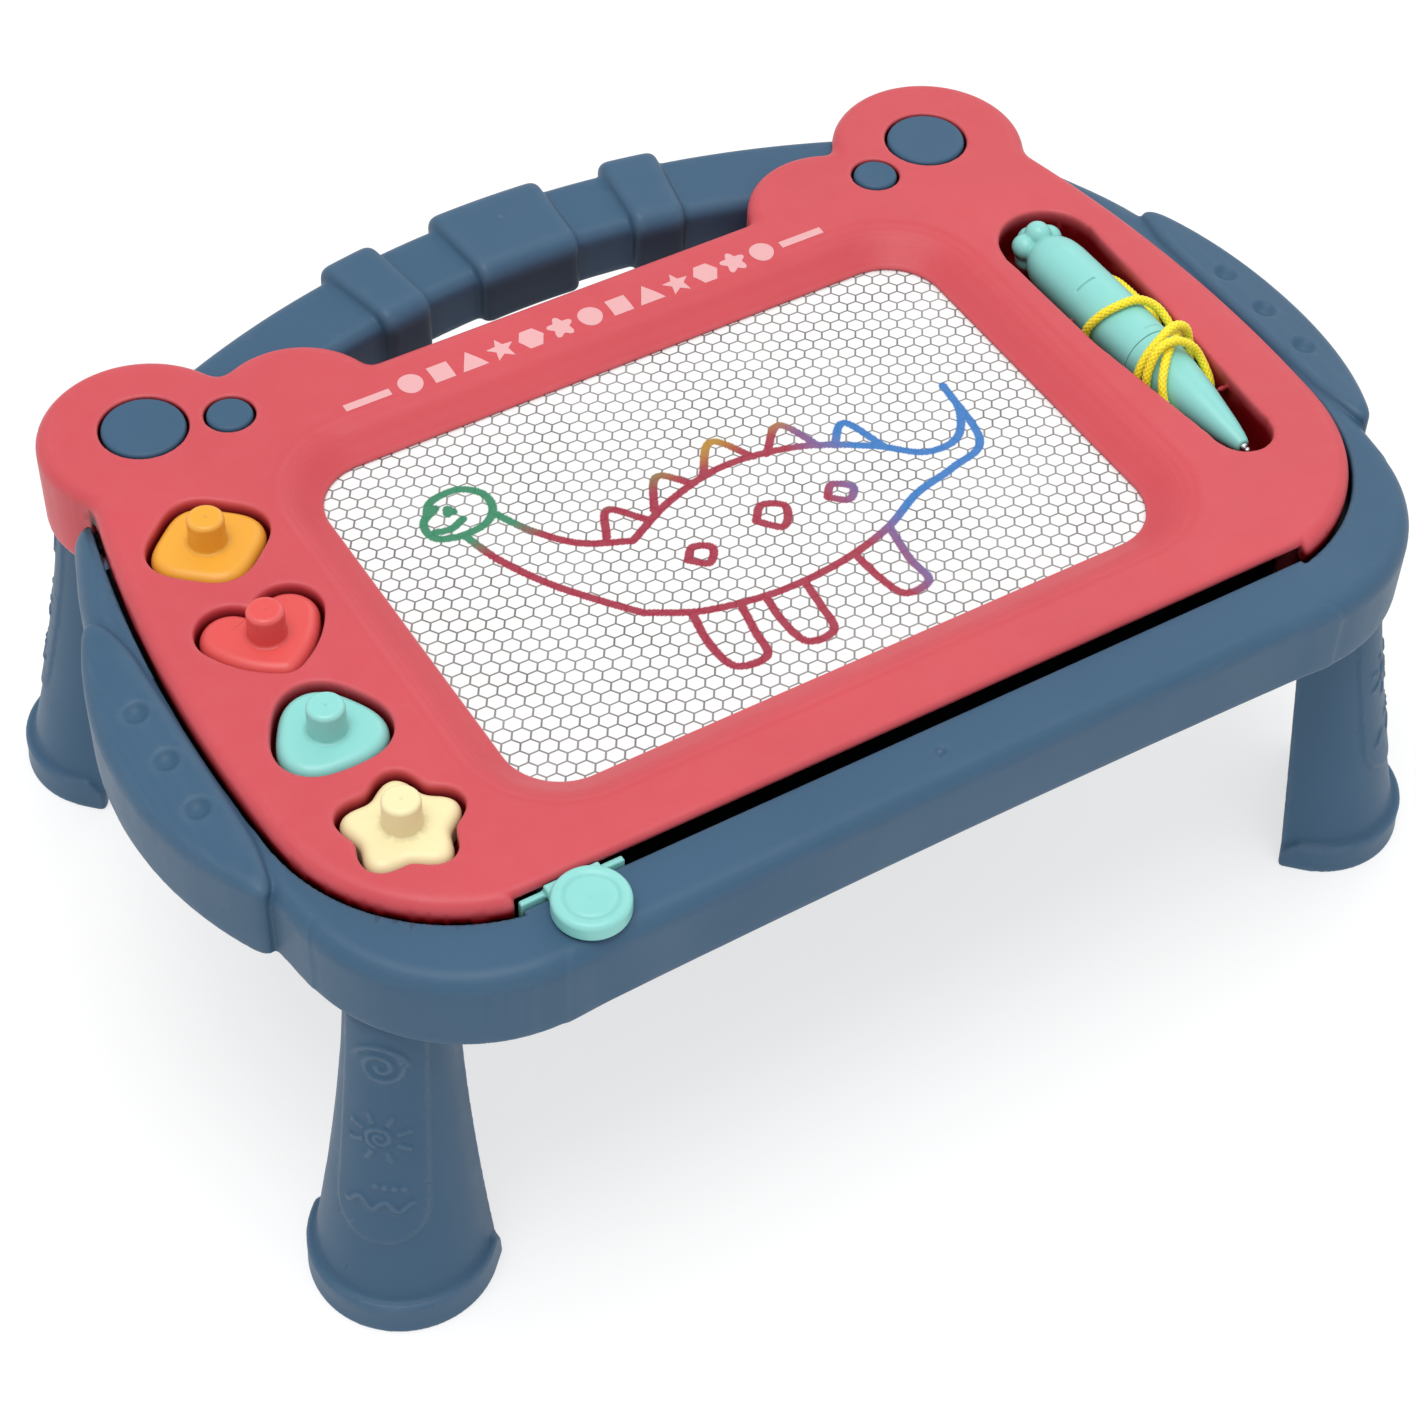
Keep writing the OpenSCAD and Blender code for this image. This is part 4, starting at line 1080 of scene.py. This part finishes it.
def screen_material():
    """White cells with thin grey walls, in rows along X, and powder drawn up in coloured lines."""
    m = Nodes("drawing_screen")
    pitch = CELL_PITCH
    row_gap = pitch * math.sqrt(3) / 2
    parts = m.tree.nodes.new("ShaderNodeSeparateXYZ")
    m.tree.links.new(m.place, parts.inputs[0])
    wobble = m.math("MULTIPLY", m.math("SUBTRACT", m.noise(9.0, 2.0, 0.5), 0.5), 0.5)
    x = m.math("ADD", m.math("MULTIPLY", parts.outputs[0], 1000.0), wobble)
    y = m.math("SUBTRACT", m.math("MULTIPLY", parts.outputs[1], 1000.0), wobble)
    squeezed = m.math("MULTIPLY", y, CELL_SQUEEZE)

    def cell(dx, dy):
        """How far out of its hexagon a point is, on one of two rectangular lattices of hexagons."""
        col = 2 * row_gap
        u = m.math("WRAP", m.math("ADD", x, dx), col / 2, -col / 2)
        v = m.math("WRAP", m.math("ADD", squeezed, dy), pitch / 2, -pitch / 2)
        au, av = m.math("ABSOLUTE", u), m.math("ABSOLUTE", v)
        slanted = m.math("ADD", m.math("MULTIPLY", au, math.sqrt(3) / 2), m.math("MULTIPLY", av, 0.5))
        return m.math("MAXIMUM", slanted, av)

    near = m.math("MINIMUM", cell(0.0, 0.0), cell(row_gap, pitch / 2))
    wall = m.ramp(near, pitch / 2 - 0.42, pitch / 2 - 0.2)
    fade = m.ramp(m.noise(55.0, 2.0, 0.6), 0.3, 0.7, 0.8, 1.0)
    wall = m.math("MULTIPLY", wall, fade)
    cloud = m.noise(26.0, 3.0, 0.5)
    white = m.mix(m.ramp(cloud, 0.3, 0.7), srgb(228, 228, 227), srgb(234, 234, 234))
    lined = m.mix(m.math("MULTIPLY", wall, 0.97), white, srgb(96, 92, 90))
    # The sheet has four areas, each with powder of its own colour
    zone_x = m.math("ADD", x, m.math("MULTIPLY", m.math("SUBTRACT", m.noise(30.0), 0.5), 10.0))
    zone_y = m.math("ADD", y, m.math("MULTIPLY", m.math("SUBTRACT", m.noise(34.0), 0.5), 10.0))
    upper = m.ramp(zone_y, 1.0, 9.0)
    upper_colour = m.mix(m.ramp(zone_x, -24.0, -8.0), srgb(34, 122, 86), srgb(168, 122, 18))
    lower_colour = m.mix(m.ramp(zone_x, 26.0, 44.0), srgb(148, 14, 50), srgb(24, 106, 176))
    powder = m.mix(upper, lower_colour, upper_colour)
    grains = m.noise(1500.0, 2.0, 0.6)
    drawn = m.attribute("ink")
    amount = m.ramp(m.math("ADD", drawn, m.ramp(grains, 0.35, 0.65, -0.12, 0.06)), 0.05, 0.5, 0.0, 0.97)
    m.set("Base Color", m.mix(amount, lined, powder))
    m.set("Roughness", m.ramp(cloud, 0.3, 0.7, 0.30, 0.40))
    m.set("Specular IOR Level", 0.4)
    ripple = m.noise(12.0, 2.0, 0.5)
    normal = m.bump(ripple, 0.12, 0.0012)
    m.set("Normal", m.bump(wall, 0.12, 0.0001, normal))
    return m.material


screen = make_screen()
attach(screen, "board")
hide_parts("screen_front_film")

# ---- Printed row on the deck ----

ROW_Y = 87.6


def outline_shape(kind, size):
    """A closed outline of a plain shape. The last kind is a flower."""
    def around(n, radius, turn=0.0):
        return [(radius(i) * math.cos(math.radians(turn) + 2 * math.pi * i / n),
                 radius(i) * math.sin(math.radians(turn) + 2 * math.pi * i / n)) for i in range(n)]
    if kind == "round":
        return around(40, lambda i: size)
    if kind == "square":
        return around(4, lambda i: size * 1.22, 45)
    if kind == "triangle":
        return [(p[0], p[1] - size * 0.2) for p in around(3, lambda i: size * 1.28, 90)]
    if kind == "star":
        return around(10, lambda i: size * (1.2 if i % 2 == 0 else 0.55), 90)
    if kind == "hexagon":
        return around(6, lambda i: size * 1.1)
    return around(60, lambda i: size * (0.92 + 0.22 * math.cos(5 * 2 * math.pi * i / 60)), 90)


def make_print():
    """Thin shapes that follow the deck's top, each in rings from its outline to its middle."""
    sunk, proud = -0.3, 0.1
    points, faces = [], []

    def add(outline, cx, cy):
        base = len(points)
        edge = []
        for (ax, ay), (bx, by) in zip(outline, outline[1:] + outline[:1]):
            parts = max(1, math.ceil(math.hypot(bx - ax, by - ay)))
            edge += [(ax + (bx - ax) * k / parts, ay + (by - ay) * k / parts) for k in range(parts)]
        n = len(edge)
        for share, h in ((1, sunk), (1, proud), (0.75, proud), (0.5, proud), (0.25, proud)):
            plan = np.array([(cx + share * px, cy + share * py) for px, py in edge], f4)
            level = deck_top(plan[:, 0], plan[:, 1]) + h
            points.extend([(px, py, pz) for (px, py), pz in zip(plan, level)])
        points.append((cx, cy, float(deck_top(np.array([cx]), np.array([cy]))[0]) + proud))
        faces.append(tuple(base + i for i in range(n))[::-1])
        for a in range(base, base + 4 * n, n):
            faces.extend((a + i, a + (i + 1) % n, a + n + (i + 1) % n, a + n + i) for i in range(n))
        last = base + 4 * n
        faces.extend((last + i, last + (i + 1) % n, last + n) for i in range(n))

    kinds = ["round", "square", "triangle", "star", "hexagon", "flower"]
    count, spacing, size = 13, 10.5, 4.0
    for i in range(count):
        shape = outline_shape(kinds[i % len(kinds)], size)
        add(shape, spacing * (i - (count - 1) / 2), ROW_Y)
    for sign in (-1, 1):
        add([(-7.75, -1.4), (7.75, -1.4), (7.75, 1.4), (-7.75, 1.4)], sign * 77.75, ROW_Y - 0.3)
    return mesh_object("printed_row", to_row(points), faces, ink, smooth=False)


printed = make_print()
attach(printed, "board")

# ---- CAD pieces that keep their shape ----

KEPT = {
    "bottom_cover": cover_with_painted_shade, "screen_honeycomb": backing, "screen_back_film": backing,
    "screen_rail_front": rail_white, "screen_rail_back": rail_white, "eraser_magnet": magnet,
    "magnet_diamond": magnet, "magnet_heart": magnet, "magnet_triangle": magnet, "magnet_star": magnet,
    "pen_magnet": steel, "case_screws": steel, "deck_screws": steel, "rail_screws": steel,
}
for node, material in KEPT.items():
    for obj in bpy.data.objects:
        if obj.name == node:
            for slot in obj.material_slots:
                slot.material = material

# ---- Floor and light ----

FLOOR_HALF = 6
corners = [(u * FLOOR_HALF, v * FLOOR_HALF, 0) for u, v in ((-1, -1), (1, -1), (1, 1), (-1, 1))]
floor_mesh = bpy.data.meshes.new("floor")
floor_mesh.from_pydata(corners, [], [(0, 1, 2, 3)])
floor = link(bpy.data.objects.new("floor", floor_mesh))
floor_nodes = Nodes("floor_paper")
floor_nodes.set("Base Color", (0.33, 0.33, 0.332, 1.0))
floor_nodes.set("Roughness", 0.85)
floor_nodes.set("Emission Color", (1.0, 1.0, 1.0, 1.0))
floor_nodes.set("Emission Strength", 0.66)
floor_mesh.materials.append(floor_nodes.material)


def area_light(name, at, size, power):
    """A round soft light that faces the desk."""
    target = (0, 0, 0.1)
    data = bpy.data.lights.new(name, "AREA")
    data.shape = "DISK"
    data.size = size
    data.energy = power
    lamp = link(bpy.data.objects.new(name, data))
    lamp.location = at
    lamp.rotation_euler = (Vector(target) - Vector(at)).to_track_quat("-Z", "Y").to_euler()


area_light("key", (-0.5, -0.3, 3.6), 2.6, 80.0)
area_light("rim", (2.4, 1.6, 2.4), 2.0, 12.0)
world = bpy.data.worlds.new("studio")
world.use_nodes = True
world.node_tree.nodes["Background"].inputs["Color"].default_value = (1, 1, 1, 1)
world.node_tree.nodes["Background"].inputs["Strength"].default_value = 0.7
bpy.context.scene.world = world
bpy.context.scene.view_settings.view_transform = "Standard"
bpy.context.scene.view_settings.look = "None"
